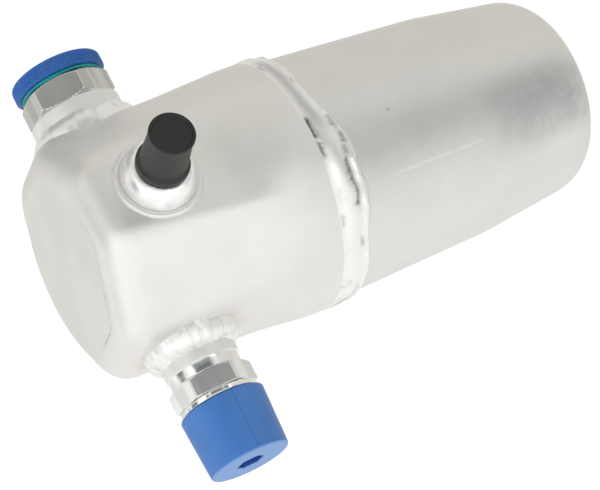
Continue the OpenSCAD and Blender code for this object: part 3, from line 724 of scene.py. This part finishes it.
def make_switch_port():
    """Spigot, domed base and threaded stem with a bore for the valve core."""
    theta = ring_angles(240)
    base = PAD_DIST - FACE_GAP
    rows = profile_rows([
        (SWITCH_SPIGOT_R, SPIGOT_END, 0), (SWITCH_SPIGOT_R, base, 0), (SWITCH_BASE_R, base, 0),
    ])
    for a in np.linspace(0, math.pi / 2, 24):
        across = SWITCH_BASE_R - DOME_EDGE * (1 - math.cos(a))
        rows.append((across, PAD_DIST + (DOME_TOP - PAD_DIST) * math.sin(a)))
    rows += profile_rows([(6.4, DOME_TOP, 0), (5.0, DOME_TOP, 0.2), (5.0, DOME_TOP + 0.8, 0)])
    rows += thread_rows(STEM_R, 0.6, SWITCH_PITCH, DOME_TOP + 1.0, STEM_END - 0.8, theta, False)
    rows += profile_rows([
        (5.2, STEM_END - 0.6, 0), (4.9, STEM_END, 0.2), (STEM_BORE_R + 0.2, STEM_END, 0.2),
        (STEM_BORE_R, STEM_END - 0.3, 0.1), (STEM_BORE_R, SPIGOT_END, 0),
    ])
    return grid_object("switch_port_body", rows_grid(SWITCH_ANGLE, rows, theta), wrap_rows=True)


# Caps


def make_inlet_plug():
    """Cup in the bore and a flange with fine round ribs, open to the outside."""
    ribs = 96
    theta = ring_angles(ribs * 6)
    rows = profile_rows([
        (1.0, PLUG_FLOOR, 0), (9.2, PLUG_FLOOR, 0), (PLUG_R, PLUG_FLOOR + 1.0, 0.3),
        (PLUG_R, FLANGE_START, 0), (FLANGE_R - 1.1, FLANGE_START, 0),
    ], longest=2.0)
    rib = 0.16 * (1 - np.cos(theta * ribs))
    flange = [
        (FLANGE_R - 0.6, FLANGE_START + 0.05, 0), (FLANGE_R, FLANGE_START + 0.7, 0.4),
        (FLANGE_R, PLUG_END, 1.7), (FLANGE_R - 2.5, PLUG_END, 0),
    ]
    for r, z in profile_rows(flange, steps=6, longest=0.8):
        ends = ease((PLUG_END - 0.1 - z) / 0.8) * ease((z - FLANGE_START - 0.2) / 0.5)
        rows.append((r - rib * ease((r - FLANGE_R + 1.0) / 0.8) * ends, z))
    rows += profile_rows([
        (13.8, PLUG_END, 0), (9.2, PLUG_END, 0.6), (8.55, 66.0, 0.3), (8.55, PLUG_INSIDE, 0.8),
        (1.0, PLUG_INSIDE, 0),
    ], longest=2.0)
    return closed_rows("plug_inlet", 0, rows, theta)


def make_seal():
    """Thin seal ring under the plug's flange, its edge rounded."""
    profile = refine(fillet([
        (SEAL_HOLE_R, SEAL_START, 0.05), (SEAL_R, SEAL_START, 0.3),
        (SEAL_R, SEAL_END, 0.3), (SEAL_HOLE_R, SEAL_END, 0.05),
    ], closed=True), 1.5, closed=True)
    return grid_object("seal_inlet", turned_grid(0, profile, 192), wrap_rows=True)


def make_outlet_cap():
    """Tapered cap, rounded at its end, with a hexagon recess; hollow over the thread."""
    theta = ring_angles(288)
    end, floor = CAP_END, CAP_RECESS
    across = hex_radius(8.6, OUTLET_TURN, theta, 0.3)
    rows = [(across * s, floor) for s in (0.15, 0.5, 0.85, 0.97)]
    rows += [(across, floor + 0.15), (across, floor + 0.6), (across, end - 0.4)]
    rows += [(across + 0.08, end - 0.15), (across + 0.3, end - 0.04)]
    rows += [(across * (1 - s) + 11.9 * s, end) for s in (0.15, 0.4, 0.7, 1.0)]
    rows += profile_rows([
        (12.0, end, 0), (CAP_END_R, end, 2.2), (CAP_FOOT_R, CAP_FOOT + 0.6, 0.4),
        (CAP_FOOT_R - 0.4, CAP_FOOT, 0.3), (CAP_BORE_R + 0.25, CAP_FOOT, 0.2),
        (CAP_BORE_R, CAP_FOOT + 0.4, 0.2), (CAP_BORE_R, CAP_ROOF, 0.6), (1.0, CAP_ROOF, 0),
    ], steps=8)
    seam = 0.15 * sum(arc_mask(theta, a - 0.5, a + 0.5, 1.0) for a in (SEAM_ANGLE, SEAM_ANGLE + 180))
    rows = [(r + seam if z < end - 1 and np.min(r) > CAP_END_R - 0.2 else r, z) for r, z in rows]
    return closed_rows("cap_outlet", 180, rows, theta)


def make_port_cap():
    """Black cap: flange at its foot, slightly waisted body, small lip round the top."""
    theta = ring_angles(256)
    rows = profile_rows([
        (1.0, PORT_CAP_END, 0), (6.5, PORT_CAP_END, 0.2), (6.8, PORT_LIP_END, 0.2),
        (PORT_LIP_R, PORT_LIP_END, 0.6), (PORT_LIP_R, PORT_LIP_END - 1.6, 0.5), (7.45, 66.6, 0.3),
        (8.1, 52.0, 0.4), (PORT_FLANGE_R, PORT_CAP_FOOT + 2.2, 0.9), (PORT_FLANGE_R, PORT_CAP_FOOT, 0.7),
        (5.9, PORT_CAP_FOOT, 0.2), (PORT_CAP_BORE_R, 49.7, 0.1), (PORT_CAP_BORE_R, PORT_CAP_ROOF, 0.4),
        (1.0, PORT_CAP_ROOF, 0),
    ], steps=5)
    return closed_rows("cap_switch", SWITCH_ANGLE, rows, theta)


# Valve spring


def make_spring():
    """Coil spring under the valve pin's head, one fine tube along its helix."""
    per_turn, sides = 32, 10
    rings = int(SPRING_TURNS * per_turn) + 1
    b = ring_angles(sides)
    rise = SPRING_END - SPRING_START - 2 * SPRING_WIRE_R
    rows = []
    for i in range(rings):
        position = SPRING_START + SPRING_WIRE_R + rise * i / (rings - 1) + SPRING_WIRE_R * np.sin(b)
        radius = SPRING_R + SPRING_WIRE_R * np.cos(b)
        rows.append(on_port(SWITCH_ANGLE, radius, TAU * i / per_turn, position))
    grid = np.stack(rows)
    return grid_object("spring_core", grid, start_point=grid[0].mean(0), end_point=grid[-1].mean(0))


# Drying bag


def make_bag():
    """Filled felt bag: crowned between its straps, drawn in under them, wrinkled, seamed at both sides."""
    count, steps = 128, 100
    rng = np.random.default_rng(21)
    theta = ring_angles(count)
    wrinkles = smooth_noise(theta, rng, (14, 19, 27, 33))
    lumps = smooth_noise(theta, rng, (5, 7, 9, 11))
    x, y = (np.sign(v) * np.abs(v) ** (2 / BAG_POWER) for v in (np.cos(theta), np.sin(theta)))
    off_seam = np.abs(np.abs(np.degrees(theta) - 180) - 90)
    rows = []
    for t in np.sin(np.linspace(-math.pi / 2, math.pi / 2, steps)):
        z = BAG_Z + BAG_LEN * (1 + t) / 2
        share = max(1 - abs(t) ** 5, 0.02) ** 0.2
        pinch = sum(math.exp(-((z - tie_z) / 4.2) ** 2) for tie_z in BAG_TIE_Z)
        end = ease((abs(t) - 0.55) / 0.45)
        swell = 0.45 + 0.28 * lumps * math.sin(z / 4.1) + 0.5 * pinch
        crease = (0.10 + 0.22 * pinch + 0.35 * end) * (0.6 + 0.4 * wrinkles * math.cos(z / 2.3))
        sunk = np.maximum(swell + crease, 0.05)
        seam = 0.5 * bump_row(t, 0.0, 2.0) * np.exp(-(off_seam / 2.2) ** 2)
        wide = np.maximum(BAG_HALF_W * share - sunk, 0.3)
        deep = np.maximum(BAG_HALF_D * share - sunk + np.minimum(seam, sunk), 0.3)
        rows.append(np.stack([BAG_X + x * wide, y * deep, np.full(count, z)], -1))
    return grid_object(
        "bag_drying", np.stack(rows), start_point=(BAG_X, 0, BAG_Z), end_point=(BAG_X, 0, BAG_Z + BAG_LEN)
    )


# Materials


class Tree:
    """Short calls to build the node tree of a material or world."""

    def __init__(self, owner):
        owner.use_nodes = True
        self.owner = owner
        self.tree = owner.node_tree
        self.tree.nodes.clear()

    def add(self, kind, inputs=None, **settings):
        node = self.tree.nodes.new(kind)
        for key, value in settings.items():
            setattr(node, key, value)
        for key, value in (inputs or {}).items():
            if isinstance(value, bpy.types.NodeSocket):
                self.tree.links.new(value, node.inputs[key])
            else:
                node.inputs[key].default_value = value
        return node

    def fade(self, value, low, high):
        return self.band(value, low, high, 1.0, 0.0)

    def math(self, operation, a, b=0.0):
        return self.add("ShaderNodeMath", {0: a, 1: b}, operation=operation).outputs[0]

    def mul(self, a, b):
        return self.math("MULTIPLY", a, b)

    def plus(self, a, b):
        return self.math("ADD", a, b)

    def dot(self, a, b):
        return self.add("ShaderNodeVectorMath", {0: a, 1: b}, operation="DOT_PRODUCT").outputs["Value"]

    def noise(self, vector, scale, detail=3.0, rough=0.55):
        return self.add(
            "ShaderNodeTexNoise", {"Vector": vector, "Scale": scale, "Detail": detail, "Roughness": rough}
        ).outputs["Fac"]

    def stretch(self, vector, scale):
        return self.add("ShaderNodeMapping", {"Vector": vector, "Scale": scale}).outputs[0]

    def band(self, value, low, high, to_low=0.0, to_high=1.0):
        return self.add(
            "ShaderNodeMapRange",
            {"Value": value, "From Min": low, "From Max": high, "To Min": to_low, "To Max": to_high},
            interpolation_type="SMOOTHSTEP",
        ).outputs["Result"]

    def mix(self, factor, a, b):
        return self.add("ShaderNodeMix", {0: factor, 6: a, 7: b}, data_type="RGBA").outputs[2]

    def finish(self, tone, rough, normal, metallic=0.0):
        """Ends a material in one principled shader."""
        inputs = {"Base Color": tone, "Metallic": metallic, "Roughness": rough, "Normal": normal}
        return self.surface(self.add("ShaderNodeBsdfPrincipled", inputs).outputs["BSDF"])

    def surface(self, shader, output="ShaderNodeOutputMaterial"):
        self.add(output, {"Surface": shader})
        return self.owner

    def bump(self, height, strength, distance, normal=None):
        inputs = {"Height": height, "Strength": strength, "Distance": distance}
        if normal is not None:
            inputs["Normal"] = normal
        return self.add("ShaderNodeBump", inputs).outputs["Normal"]


def colour(r, g, b):
    """A linear colour from 0 to 255 screen values."""
    out = []
    for v in (r, g, b):
        v = v / 255
        out.append(v / 12.92 if v <= 0.04045 else ((v + 0.055) / 1.055) ** 2.4)
    return (*out, 1.0)


def new_material(name):
    t = Tree(bpy.data.materials.new(name))
    return t, t.add("ShaderNodeTexCoord").outputs["Object"]


def shell_material(name, tone_a, tone_b, rough_a, rough_b, line_share, marks):
    """Satin drawn aluminium: cloudy tone, faint draw lines, and handling marks if asked for."""
    t, where = new_material(name)
    cloud = t.noise(where, 38.0, 4.0)
    lines = t.noise(t.stretch(where, (900, 900, 14)), 1.0, 3.0)
    grain = t.noise(where, 2600.0, 2.0)
    waves = t.noise(where, 30.0, 2.0)
    tone = t.mix(t.band(cloud, 0.3, 0.7), colour(*tone_a), colour(*tone_b))
    tone = t.mix(t.mul(t.band(lines, 0.5, 0.75), line_share), tone, colour(210, 210, 207))
    height = t.mul(grain, 0.6)
    rough = t.plus(t.band(cloud, 0.25, 0.75, rough_a, rough_b), t.mul(grain, 0.05))
    if marks:
        tone = t.mix(tarnish_mask(t, where), tone, colour(203, 205, 204))
        scratch, speck = scratch_mask(t, where), speck_mask(t, where)
        tone = t.mix(t.mul(scratch, 0.45), tone, colour(246, 246, 245))
        rough = t.math("SUBTRACT", rough, t.mul(scratch, 0.03))
        tone = t.mix(t.mul(speck, 0.35), tone, colour(120, 120, 118))
    else:
        tint = heat_mask(t, where)
        tone = t.mix(t.mul(tint, 0.35), tone, colour(205, 190, 165))
        # Painted shade: a dark brown line along the top face's crease, from the amounts kept on the shell's
        # points.
        crease = t.add("ShaderNodeAttribute", attribute_name="soot_and_shade").outputs["Fac"]
        tone = t.mix(t.mul(crease, 0.8), tone, colour(112, 104, 94))
    normal = t.bump(waves, 0.12, 0.002)
    normal = t.bump(height, 0.10, 0.0004, t.bump(lines, line_share / 2, 0.0004, normal))
    return t.finish(tone, rough, normal, metallic=1.0)


def split(t, where):
    parts = t.add("ShaderNodeSeparateXYZ", {0: where}).outputs
    return parts["X"], parts["Y"], parts["Z"]


def off_angle(t, where, degrees):
    """Angle round the can from a direction, in radians, and the height."""
    x, y, z = split(t, where)
    angle = t.math("ARCTAN2", y, x)
    return t.math("ABSOLUTE", t.math("SUBTRACT", angle, math.radians(degrees))), z


def about_ports(t, where):
    """x, y and the height from the axis that the inlet and outlet share, and the distance from it."""
    x, y, z = split(t, where)
    up = t.math("SUBTRACT", z, PORT_Z * MM)
    return x, y, up, t.math("SQRT", t.plus(t.mul(y, y), t.mul(up, up)))


def scratch_mask(t, where):
    """A faint straight scratch up the lower shell."""
    away, z = off_angle(t, where, SCRATCH_ANGLE)
    line = t.fade(away, 0.006, 0.020)
    ends = t.mul(t.band(z, 0.046, 0.058), t.fade(z, 0.084, 0.096))
    broken = t.band(t.noise(t.stretch(where, (1, 1, 220)), 1.0, 2.0), 0.35, 0.55, 0.25, 1.0)
    return t.mul(t.mul(line, ends), broken)


def tarnish_mask(t, where):
    """A patch of greyer, mottled metal near the closed end."""
    away, z = off_angle(t, where, TARNISH_ANGLE)
    patch = t.mul(t.fade(away, 0.17, 0.48), t.fade(z, 0.030, 0.064))
    mottle = t.band(t.noise(where, 160.0, 5.0, 0.65), 0.32, 0.62, 0.55, 1.0)
    return t.mul(patch, mottle)


def speck_mask(t, where):
    """One small dark speck on the lower shell."""
    a = math.radians(SPECK_ANGLE)
    spot = Vector((SPECK_R * math.cos(a), SPECK_R * math.sin(a), SPECK_Z)) * MM
    away = t.add("ShaderNodeVectorMath", {0: where, 1: spot}, operation="DISTANCE").outputs["Value"]
    return t.fade(away, 0.0003, 0.0008)


def heat_mask(t, where):
    """Brownish heat tint on the shell just outside the two fillet welds."""
    x, _, _, away = about_ports(t, where)
    ring = t.fade(away, 0.0165, 0.0225)
    side = t.band(t.math("ABSOLUTE", x), 0.030, 0.036)
    patchy = t.band(t.noise(where, 90.0, 3.0), 0.4, 0.65)
    return t.mul(t.mul(ring, side), patchy)


def weld_material(name, rough_a, rough_b, grain_strength):
    """Bright weld metal with fine grain, darkened by the soot and painted shade that its points carry."""
    t, where = new_material(name)
    cloud = t.noise(where, 190.0, 4.0)
    grain = t.noise(where, 1300.0, 3.0)
    soot_and_shade = t.add("ShaderNodeAttribute", attribute_name="soot_and_shade").outputs["Fac"]
    tone = t.mix(t.band(cloud, 0.58, 0.72), colour(248, 248, 247), colour(220, 218, 214))
    tone = t.mix(soot_and_shade, tone, colour(58, 56, 54))
    rough = t.plus(t.band(cloud, 0.35, 0.7, rough_a, rough_b), t.mul(soot_and_shade, 0.3))
    return t.finish(tone, rough, t.bump(grain, grain_strength, 0.0005), metallic=1.0)


def turned_material(name, roughness, flat_rough, flat_dull, satin, satin_to, bar):
    """Machined aluminium: a satin band by the weld, fine turned rings, drawn streaks on the bar's flats."""
    t, where = new_material(name)
    rings = t.noise(t.stretch(where, (2400, 25, 25)), 1.0, 2.0)
    streaks = t.noise(t.stretch(where, (12, 420, 420)), 1.0, 3.0)
    x = t.math("ABSOLUTE", split(t, where)[0])
    start, end = bar
    soft = 0.0003
    flats = t.mul(t.band(x, start, start + soft), t.fade(x, end, end + soft))
    lines = t.plus(t.mul(flats, streaks), t.mul(t.math("SUBTRACT", 1.0, flats), rings))
    cloud = t.noise(where, 120.0, 3.0)
    tone = t.mix(t.band(cloud, 0.3, 0.7), colour(236, 236, 234), colour(243, 243, 241))
    drawn = t.noise(t.stretch(where, (6, 130, 130)), 1.0, 2.0)
    dull = t.mul(flats, t.band(drawn, 0.44, 0.56, flat_dull, flat_dull + 0.3))
    tone = t.mix(dull, tone, colour(176, 177, 174))
    base = t.band(x, satin_to - 0.0002, satin_to + 0.0002, satin, roughness)
    rough = t.plus(t.mul(lines, 0.08), t.plus(t.mul(flats, flat_rough), base))
    return t.finish(tone, rough, t.bump(lines, 0.10, 0.0003), metallic=1.0)


def bright_material():
    """The switch port's bright dome: mirror-like, with the soft unevenness of a hand-dressed surface."""
    t, where = new_material("bright_aluminium")
    dents = t.noise(where, 330.0, 2.0)
    cloud = t.noise(where, 260.0, 3.0)
    tone = t.mix(t.band(cloud, 0.58, 0.80), colour(252, 252, 252), colour(196, 196, 202))
    rough = t.band(cloud, 0.3, 0.7, 0.30, 0.38)
    return t.finish(tone, rough, t.bump(dents, 0.16, 0.0012), metallic=1.0)


def plastic_material(name, tone_a, tone_b, roughness, paint=None):
    """Moulded plastic: fine skin texture and a faint cloudy tone, painted over if asked for."""
    t, where = new_material(name)
    cloud = t.noise(where, 90.0, 3.0)
    grain = t.noise(where, 1800.0, 2.0)
    tone = t.mix(t.band(cloud, 0.3, 0.7), colour(*tone_a), colour(*tone_b))
    if paint:
        tone = paint(t, where, tone)
    rough = t.plus(t.mul(grain, 0.12), roughness - 0.06)
    return t.finish(tone, rough, t.bump(grain, 0.12, 0.0004))


def cap_paint(t, where, tone):
    """The outlet cap's mould line, a painted highlight that makes its end face paler, and painted shade in
    the recess.
    """
    x, y, up, away = about_ports(t, where)
    end = t.band(t.mul(x, -1.0), 0.0852, 0.0859)
    recess = t.mul(t.band(x, -0.0859, -0.0855), t.fade(away, 0.0052, 0.0056))
    off_line = t.math("ABSOLUTE", t.plus(up, t.mul(y, SEAM_SLOPE)))
    line = t.mul(t.fade(off_line, 0.00012, 0.0004), t.band(away, 0.0132, 0.0136))
    tone = t.mix(t.mul(line, 0.4), tone, colour(36, 84, 150))
    # Painted highlight on the end face, painted shade in the recess.
    tone = t.mix(end, tone, colour(116, 158, 218))
    return t.mix(recess, tone, colour(30, 78, 156))


def black_material():
    """Black moulded plastic of the switch cap: dull on its side, its top painted darker as shade and
    glossier.
    """
    t, where = new_material("cap_black")
    a = math.radians(SWITCH_ANGLE)
    along = t.dot(where, (math.cos(a), math.sin(a), 0))
    top = t.band(along, 0.0667, 0.0670)
    grain = t.noise(where, 1500.0, 2.0)
    cloud = t.noise(where, 140.0, 3.0)
    side = t.mix(t.band(cloud, 0.3, 0.7), colour(38, 37, 35), colour(46, 44, 42))
    # Painted shade: the top is toned darker than the side.
    tone = t.mix(top, side, colour(19, 20, 20))
    rough = t.plus(t.band(along, 0.0667, 0.0670, 0.46, 0.36), t.mul(grain, 0.1))
    return t.finish(tone, rough, t.bump(grain, 0.15, 0.0004))


def metal_material(name, tone_a, tone_b, roughness, scale):
    """Drawn or turned metal of the inner pieces."""
    t, where = new_material(name)
    cloud = t.noise(where, scale, 4.0)
    tone = t.mix(t.band(cloud, 0.3, 0.7), colour(*tone_a), colour(*tone_b))
    rough = t.plus(t.mul(cloud, 0.12), roughness - 0.06)
    return t.finish(tone, rough, t.bump(cloud, 0.1, 0.0004), metallic=1.0)


def felt_material():
    """Felted fibre of the drying bag."""
    t, where = new_material("felt")
    fibres = t.noise(where, 1400.0, 5.0, 0.7)
    cloud = t.noise(where, 120.0, 3.0)
    tone = t.mix(t.band(cloud, 0.3, 0.7), colour(226, 221, 208), colour(240, 236, 226))
    return t.finish(tone, 0.95, t.bump(fibres, 0.6, 0.0008))


def put(piece, material):
    """Gives a piece one material in all its slots."""
    piece.data.materials.clear()
    piece.data.materials.append(material)


# Pieces on their bodies

upper_mat = shell_material(
    "satin_aluminium_upper", (234, 233, 229), (241, 240, 237), 0.46, 0.52, 0.05, marks=False
)
# Painted shade: the lower shell is toned a little darker than the upper, for the darker reflection along
# it.
lower_mat = shell_material(
    "satin_aluminium_lower", (226, 226, 224), (233, 232, 229), 0.36, 0.42, 0.12, marks=True
)
bead_mat = weld_material("weld_smooth", 0.34, 0.42, 0.02)
weld_mat = weld_material("weld_rippled", 0.34, 0.46, 0.16)
inlet_mat = turned_material(
    "turned_inlet", 0.16, flat_rough=0.05, flat_dull=0.55, satin=0.50, satin_to=0.0506, bar=(0.0512, 0.0602)
)
outlet_mat = turned_material(
    "turned_outlet", 0.09, flat_rough=0.16, flat_dull=0.0, satin=0.52, satin_to=0.0502, bar=(0.0543, 0.0613)
)
bright_mat = bright_material()
plug_mat = plastic_material("plug_blue", (34, 92, 166), (40, 98, 172), 0.42)
cap_mat = plastic_material("cap_blue", (58, 114, 184), (64, 120, 190), 0.46, cap_paint)
black_mat = black_material()
steel_mat = metal_material("spring_steel", (170, 170, 168), (186, 186, 184), 0.3, 400.0)
teal_mat = plastic_material("seal_teal", (24, 150, 150), (32, 160, 158), 0.5)

pieces = [
    (make_upper_shell(), "canister", "upper_shell", "shell", upper_mat),
    (make_lower_shell(), "canister", "lower_shell", "shell", lower_mat),
    (make_girth_weld(), "canister", "girth_weld", "weld", bead_mat),
    (make_inlet_fitting(), "canister", "inlet_fitting", "fitting", inlet_mat),
    (
        make_fillet_weld("weld_inlet", 0, INLET_BOSS_R, 3.0, 5.5, 120, 0.018, 3, dirt_and_shade=0.12),
        "canister", "inlet_weld", "weld", weld_mat,
    ),
    (make_outlet_fitting(), "canister", "outlet_fitting", "fitting", outlet_mat),
    (
        make_fillet_weld("weld_outlet", 180, OUTLET_LAND_R, 4.0, 6.5, 128, 0.05, 5, dirt_and_shade=0.2),
        "canister", "outlet_weld", "weld", weld_mat,
    ),
    (make_switch_port(), "canister", "switch_port", "bright_fitting", bright_mat),
    (
        make_fillet_weld("weld_switch", SWITCH_ANGLE, SWITCH_BASE_R, 2.0, 1.0, 60, 0.004, 9, bulge=1.2),
        "canister", "switch_port_weld", "weld", upper_mat,
    ),
    (make_inlet_plug(), "inlet_plug_body", "inlet_plug", "plug_plastic", plug_mat),
    (make_seal(), "inlet_plug_body", "inlet_seal", "seal_rubber", teal_mat),
    (make_outlet_cap(), "outlet_cap_body", "outlet_cap", "cap_plastic", cap_mat),
    (make_port_cap(), "port_cap_body", "port_cap", "black_plastic", black_mat),
    (make_spring(), "canister", "valve_core_spring", "spring_steel", steel_mat),
    (make_bag(), "canister", "desiccant_bag", "felt", felt_material()),
]
for piece, body, node, slot, material in pieces:
    put(piece, material)
    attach(piece, body)
    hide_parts(node)
spring, bag = pieces[-2][0], pieces[-1][0]
on_port(SWITCH_ANGLE, 0, 0, 1.0) - on_port(SWITCH_ANGLE, 0, 0, 0.0)
on_port(SWITCH_ANGLE, 0, 0, SPRING_START) * MM
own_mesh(spring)

pale_mat = plastic_material("pale_plastic", (228, 223, 208), (236, 231, 218), 0.5)
tie_mat = plastic_material("tie_plastic", (238, 238, 234), (244, 244, 241), 0.45)
green_mat = plastic_material("o_ring_green", (20, 96, 66), (26, 108, 76), 0.5)
rubber_mat = plastic_material("rubber_black", (26, 26, 26), (34, 34, 34), 0.6)
brass_mat = metal_material("brass", (198, 162, 86), (212, 178, 100), 0.28, 300.0)
tube_mat = metal_material("drawn_tube", (214, 213, 210), (226, 225, 222), 0.32, 90.0)
cad_looks = {
    "outlet_o_ring": green_mat,
    "port_cap_seal": rubber_mat,
    "valve_core_body": brass_mat,
    "valve_core_pin": brass_mat,
    "valve_core_seal": rubber_mat,
    "u_tube": tube_mat,
    "deflector_cap": pale_mat,
    "oil_filter_housing": pale_mat,
    "oil_filter_screen": steel_mat,
    "bag_tie_lower": tie_mat,
    "bag_tie_upper": tie_mat,
}
for node, material in cad_looks.items():
    put(nodes[node], material)


# Stage, light and camera


def make_floor():
    """A wide pale disc under the can; white to the camera, with the can's soft shadow."""
    drop = -0.05
    rings = [around(r, ring_angles(96), drop) for r in (400.0, 1500.0, 6000.0)]
    floor = grid_object("floor", np.stack(rings), start_point=(0, 0, drop))
    t, where = new_material("floor_pale")
    path = t.add("ShaderNodeLightPath").outputs
    paper = t.noise(where, 900.0, 2.0)
    tone = t.mix(t.band(paper, 0.3, 0.7), (0.86, 0.86, 0.86, 1), (0.88, 0.88, 0.88, 1))
    matte = t.add("ShaderNodeBsdfDiffuse", {"Color": tone}).outputs[0]
    white = t.add("ShaderNodeEmission", {"Color": (1, 1, 1, 1), "Strength": 1.1}).outputs[0]
    clear = t.add("ShaderNodeBsdfTransparent").outputs[0]
    seen = t.mul(path["Is Camera Ray"], 0.88)
    lit = t.add("ShaderNodeMixShader", {0: seen, 1: matte, 2: white})
    mirrored = t.math("MAXIMUM", path["Is Glossy Ray"], path["Is Transmission Ray"])
    both = t.add("ShaderNodeMixShader", {0: mirrored, 1: lit.outputs[0], 2: clear})
    put(floor, t.surface(both.outputs[0]))


def lobe(t, direction, towards, inner, outer):
    """A soft spot of the studio: 1 within the inner angle of a direction, 0 beyond the outer one."""
    dot = t.dot(direction, Vector(towards).normalized())
    return t.band(dot, math.cos(math.radians(outer)), math.cos(math.radians(inner)))


def stripe(t, direction, across, inner, outer):
    """A soft band of the studio: 1 where a direction is level with a plane, 0 beyond the outer limit."""
    dot = t.dot(direction, Vector(across).normalized())
    return t.fade(t.math("ABSOLUTE", dot), inner, outer)


# Cards and dark corners of the studio, laid on in this order: direction, inner and outer angle, share, tone
STUDIO_SPOTS = (
    ((0.114, -0.374, 0.92), 7, 14, 1.0, (1, 1, 1)),
    ((-0.38, -0.236, 0.893), 8, 24, 1.0, (1.7, 1.7, 1.68)),
    ((0.05, 0.12, 1.0), 8, 20, 0.9, (0.12, 0.13, 0.14)),
    ((0.925, 0.16, 0.34), 6, 34, 0.9, (0.36, 0.38, 0.38)),
    ((0.31, 0.89, 0.33), 6, 34, 0.4, (0.58, 0.56, 0.53)),
    ((-0.90, 0.42, 0.10), 6, 15, 1.0, (1.45, 1.45, 1.45)),
    ((0.02, 0.60, 0.80), 6, 11, 1.0, (1.7, 1.7, 1.7)),
    ((0.272, -0.516, 0.812), 4, 15, 1.0, (1.3, 1.3, 1.3)),
)


def make_world():
    """White background; metal sees a studio, white on one side, warm grey on the other, dark in front."""
    world = bpy.data.worlds.new("studio")
    bpy.context.scene.world = world
    t = Tree(world)
    direction = t.add("ShaderNodeTexCoord").outputs["Generated"]
    path = t.add("ShaderNodeLightPath").outputs
    height = split(t, direction)[2]
    across = t.dot(direction, (0.855, -0.404, -0.325))
    studio = t.mix(t.band(across, -0.45, 0.75), (0.98, 0.975, 0.955, 1), (0.77, 0.75, 0.705, 1))
    front = t.mul(
        lobe(t, direction, (0.02, -1.0, -0.35), 20, 75),
        stripe(t, direction, (1.0, 0.16, -0.50), 0.05, 0.42),
    )
    studio = t.mix(t.mul(front, 0.9), studio, (0.43, 0.46, 0.47, 1))
    window = lobe(t, direction, (0.442, -0.805, -0.396), 4, 24)
    studio = t.mix(t.mul(window, 0.8), studio, (0.87, 0.88, 0.86, 1))
    slot = t.mul(stripe(t, direction, (0.956, 0.292, 0.0), 0.05, 0.14), t.band(height, -0.3, 0.0))
    reach = t.mul(t.fade(height, 0.74, 0.84), lobe(t, direction, (0.26, -0.9, 0.3), 40, 80))
    studio = t.mix(t.mul(t.mul(slot, reach), 0.9), studio, (0.06, 0.08, 0.09, 1))
    for towards, inner, outer, share, tone in STUDIO_SPOTS:
        spot = t.mul(lobe(t, direction, towards, inner, outer), share)
        studio = t.mix(spot, studio, (*tone, 1))
    seen = t.add("ShaderNodeBackground", {"Color": (1, 1, 1, 1), "Strength": 1.0}).outputs[0]
    mirrored = t.add("ShaderNodeBackground", {"Color": studio, "Strength": 1.0}).outputs[0]
    fill = t.add("ShaderNodeBackground", {"Color": (1, 1, 1, 1), "Strength": 0.40}).outputs[0]
    glossy = t.math("MAXIMUM", path["Is Glossy Ray"], path["Is Transmission Ray"])
    light = t.add("ShaderNodeMixShader", {0: glossy, 1: fill, 2: mirrored}).outputs[0]
    both = t.add("ShaderNodeMixShader", {0: path["Is Camera Ray"], 1: light, 2: seen}).outputs[0]
    t.surface(both, "ShaderNodeOutputWorld")


def make_area(name, shape, location, target, size, power):
    """An area light at a place, aimed at a point."""
    light = bpy.data.lights.new(name, "AREA")
    light.shape = shape
    light.size, light.size_y = size
    light.energy = power
    lamp = bpy.data.objects.new(name, light)
    bpy.context.scene.collection.objects.link(lamp)
    lamp.location = location
    aim = Vector(target) - lamp.location
    lamp.rotation_euler = aim.to_track_quat("-Z", "Y").to_euler()
    return lamp


def make_card(name, location, target, size, power):
    """A white card near the can, seen only in reflections."""
    card = make_area(name, "RECTANGLE", location, target, size, power)
    card.visible_camera = False
    card.visible_diffuse = False


def make_lamp(name, location, size, power):
    """A soft box aimed at the can's middle, kept out of reflections."""
    lamp = make_area(name, "DISK", location, (0, 0, 0.11), (size, size), power)
    lamp.visible_glossy = False


def make_camera():
    """The photograph's view, rolled so that the upright can lies across the picture."""
    camera = bpy.data.cameras.new("camera")
    camera.sensor_fit = "HORIZONTAL"
    camera.sensor_width = 36.0
    camera.lens = 173.918
    camera.clip_end = 50.0
    holder = bpy.data.objects.new("camera", camera)
    bpy.context.scene.collection.objects.link(holder)
    right = (-0.44572, -0.25207, -0.85895)
    up = (0.85514, -0.40363, -0.32529)
    back = (-0.26470, -0.87951, 0.39546)
    turn = Matrix((right, up, back)).transposed()
    holder.matrix_world = Matrix.Translation((-0.28495, -0.87352, 0.50930)) @ turn.to_4x4()
    bpy.context.scene.camera = holder


make_floor()
make_world()
make_card("card_side", (-0.16, -0.15, 0.20), (0, 0, 0.16), (0.22, 0.26), 0.035)
make_card("card_ridge", (-0.046, -0.136, 0.122), (-0.013, -0.040, 0.165), (0.03, 0.05), 0.006)
make_lamp("key", (-1.15, -0.75, 0.75), 0.8, 9.2)
make_lamp("side", (1.0, -0.5, 0.8), 0.9, 5.0)
make_lamp("top", (0.1, 0.3, 1.3), 0.9, 5.0)
make_camera()

bpy.context.scene.view_settings.view_transform = "Standard"
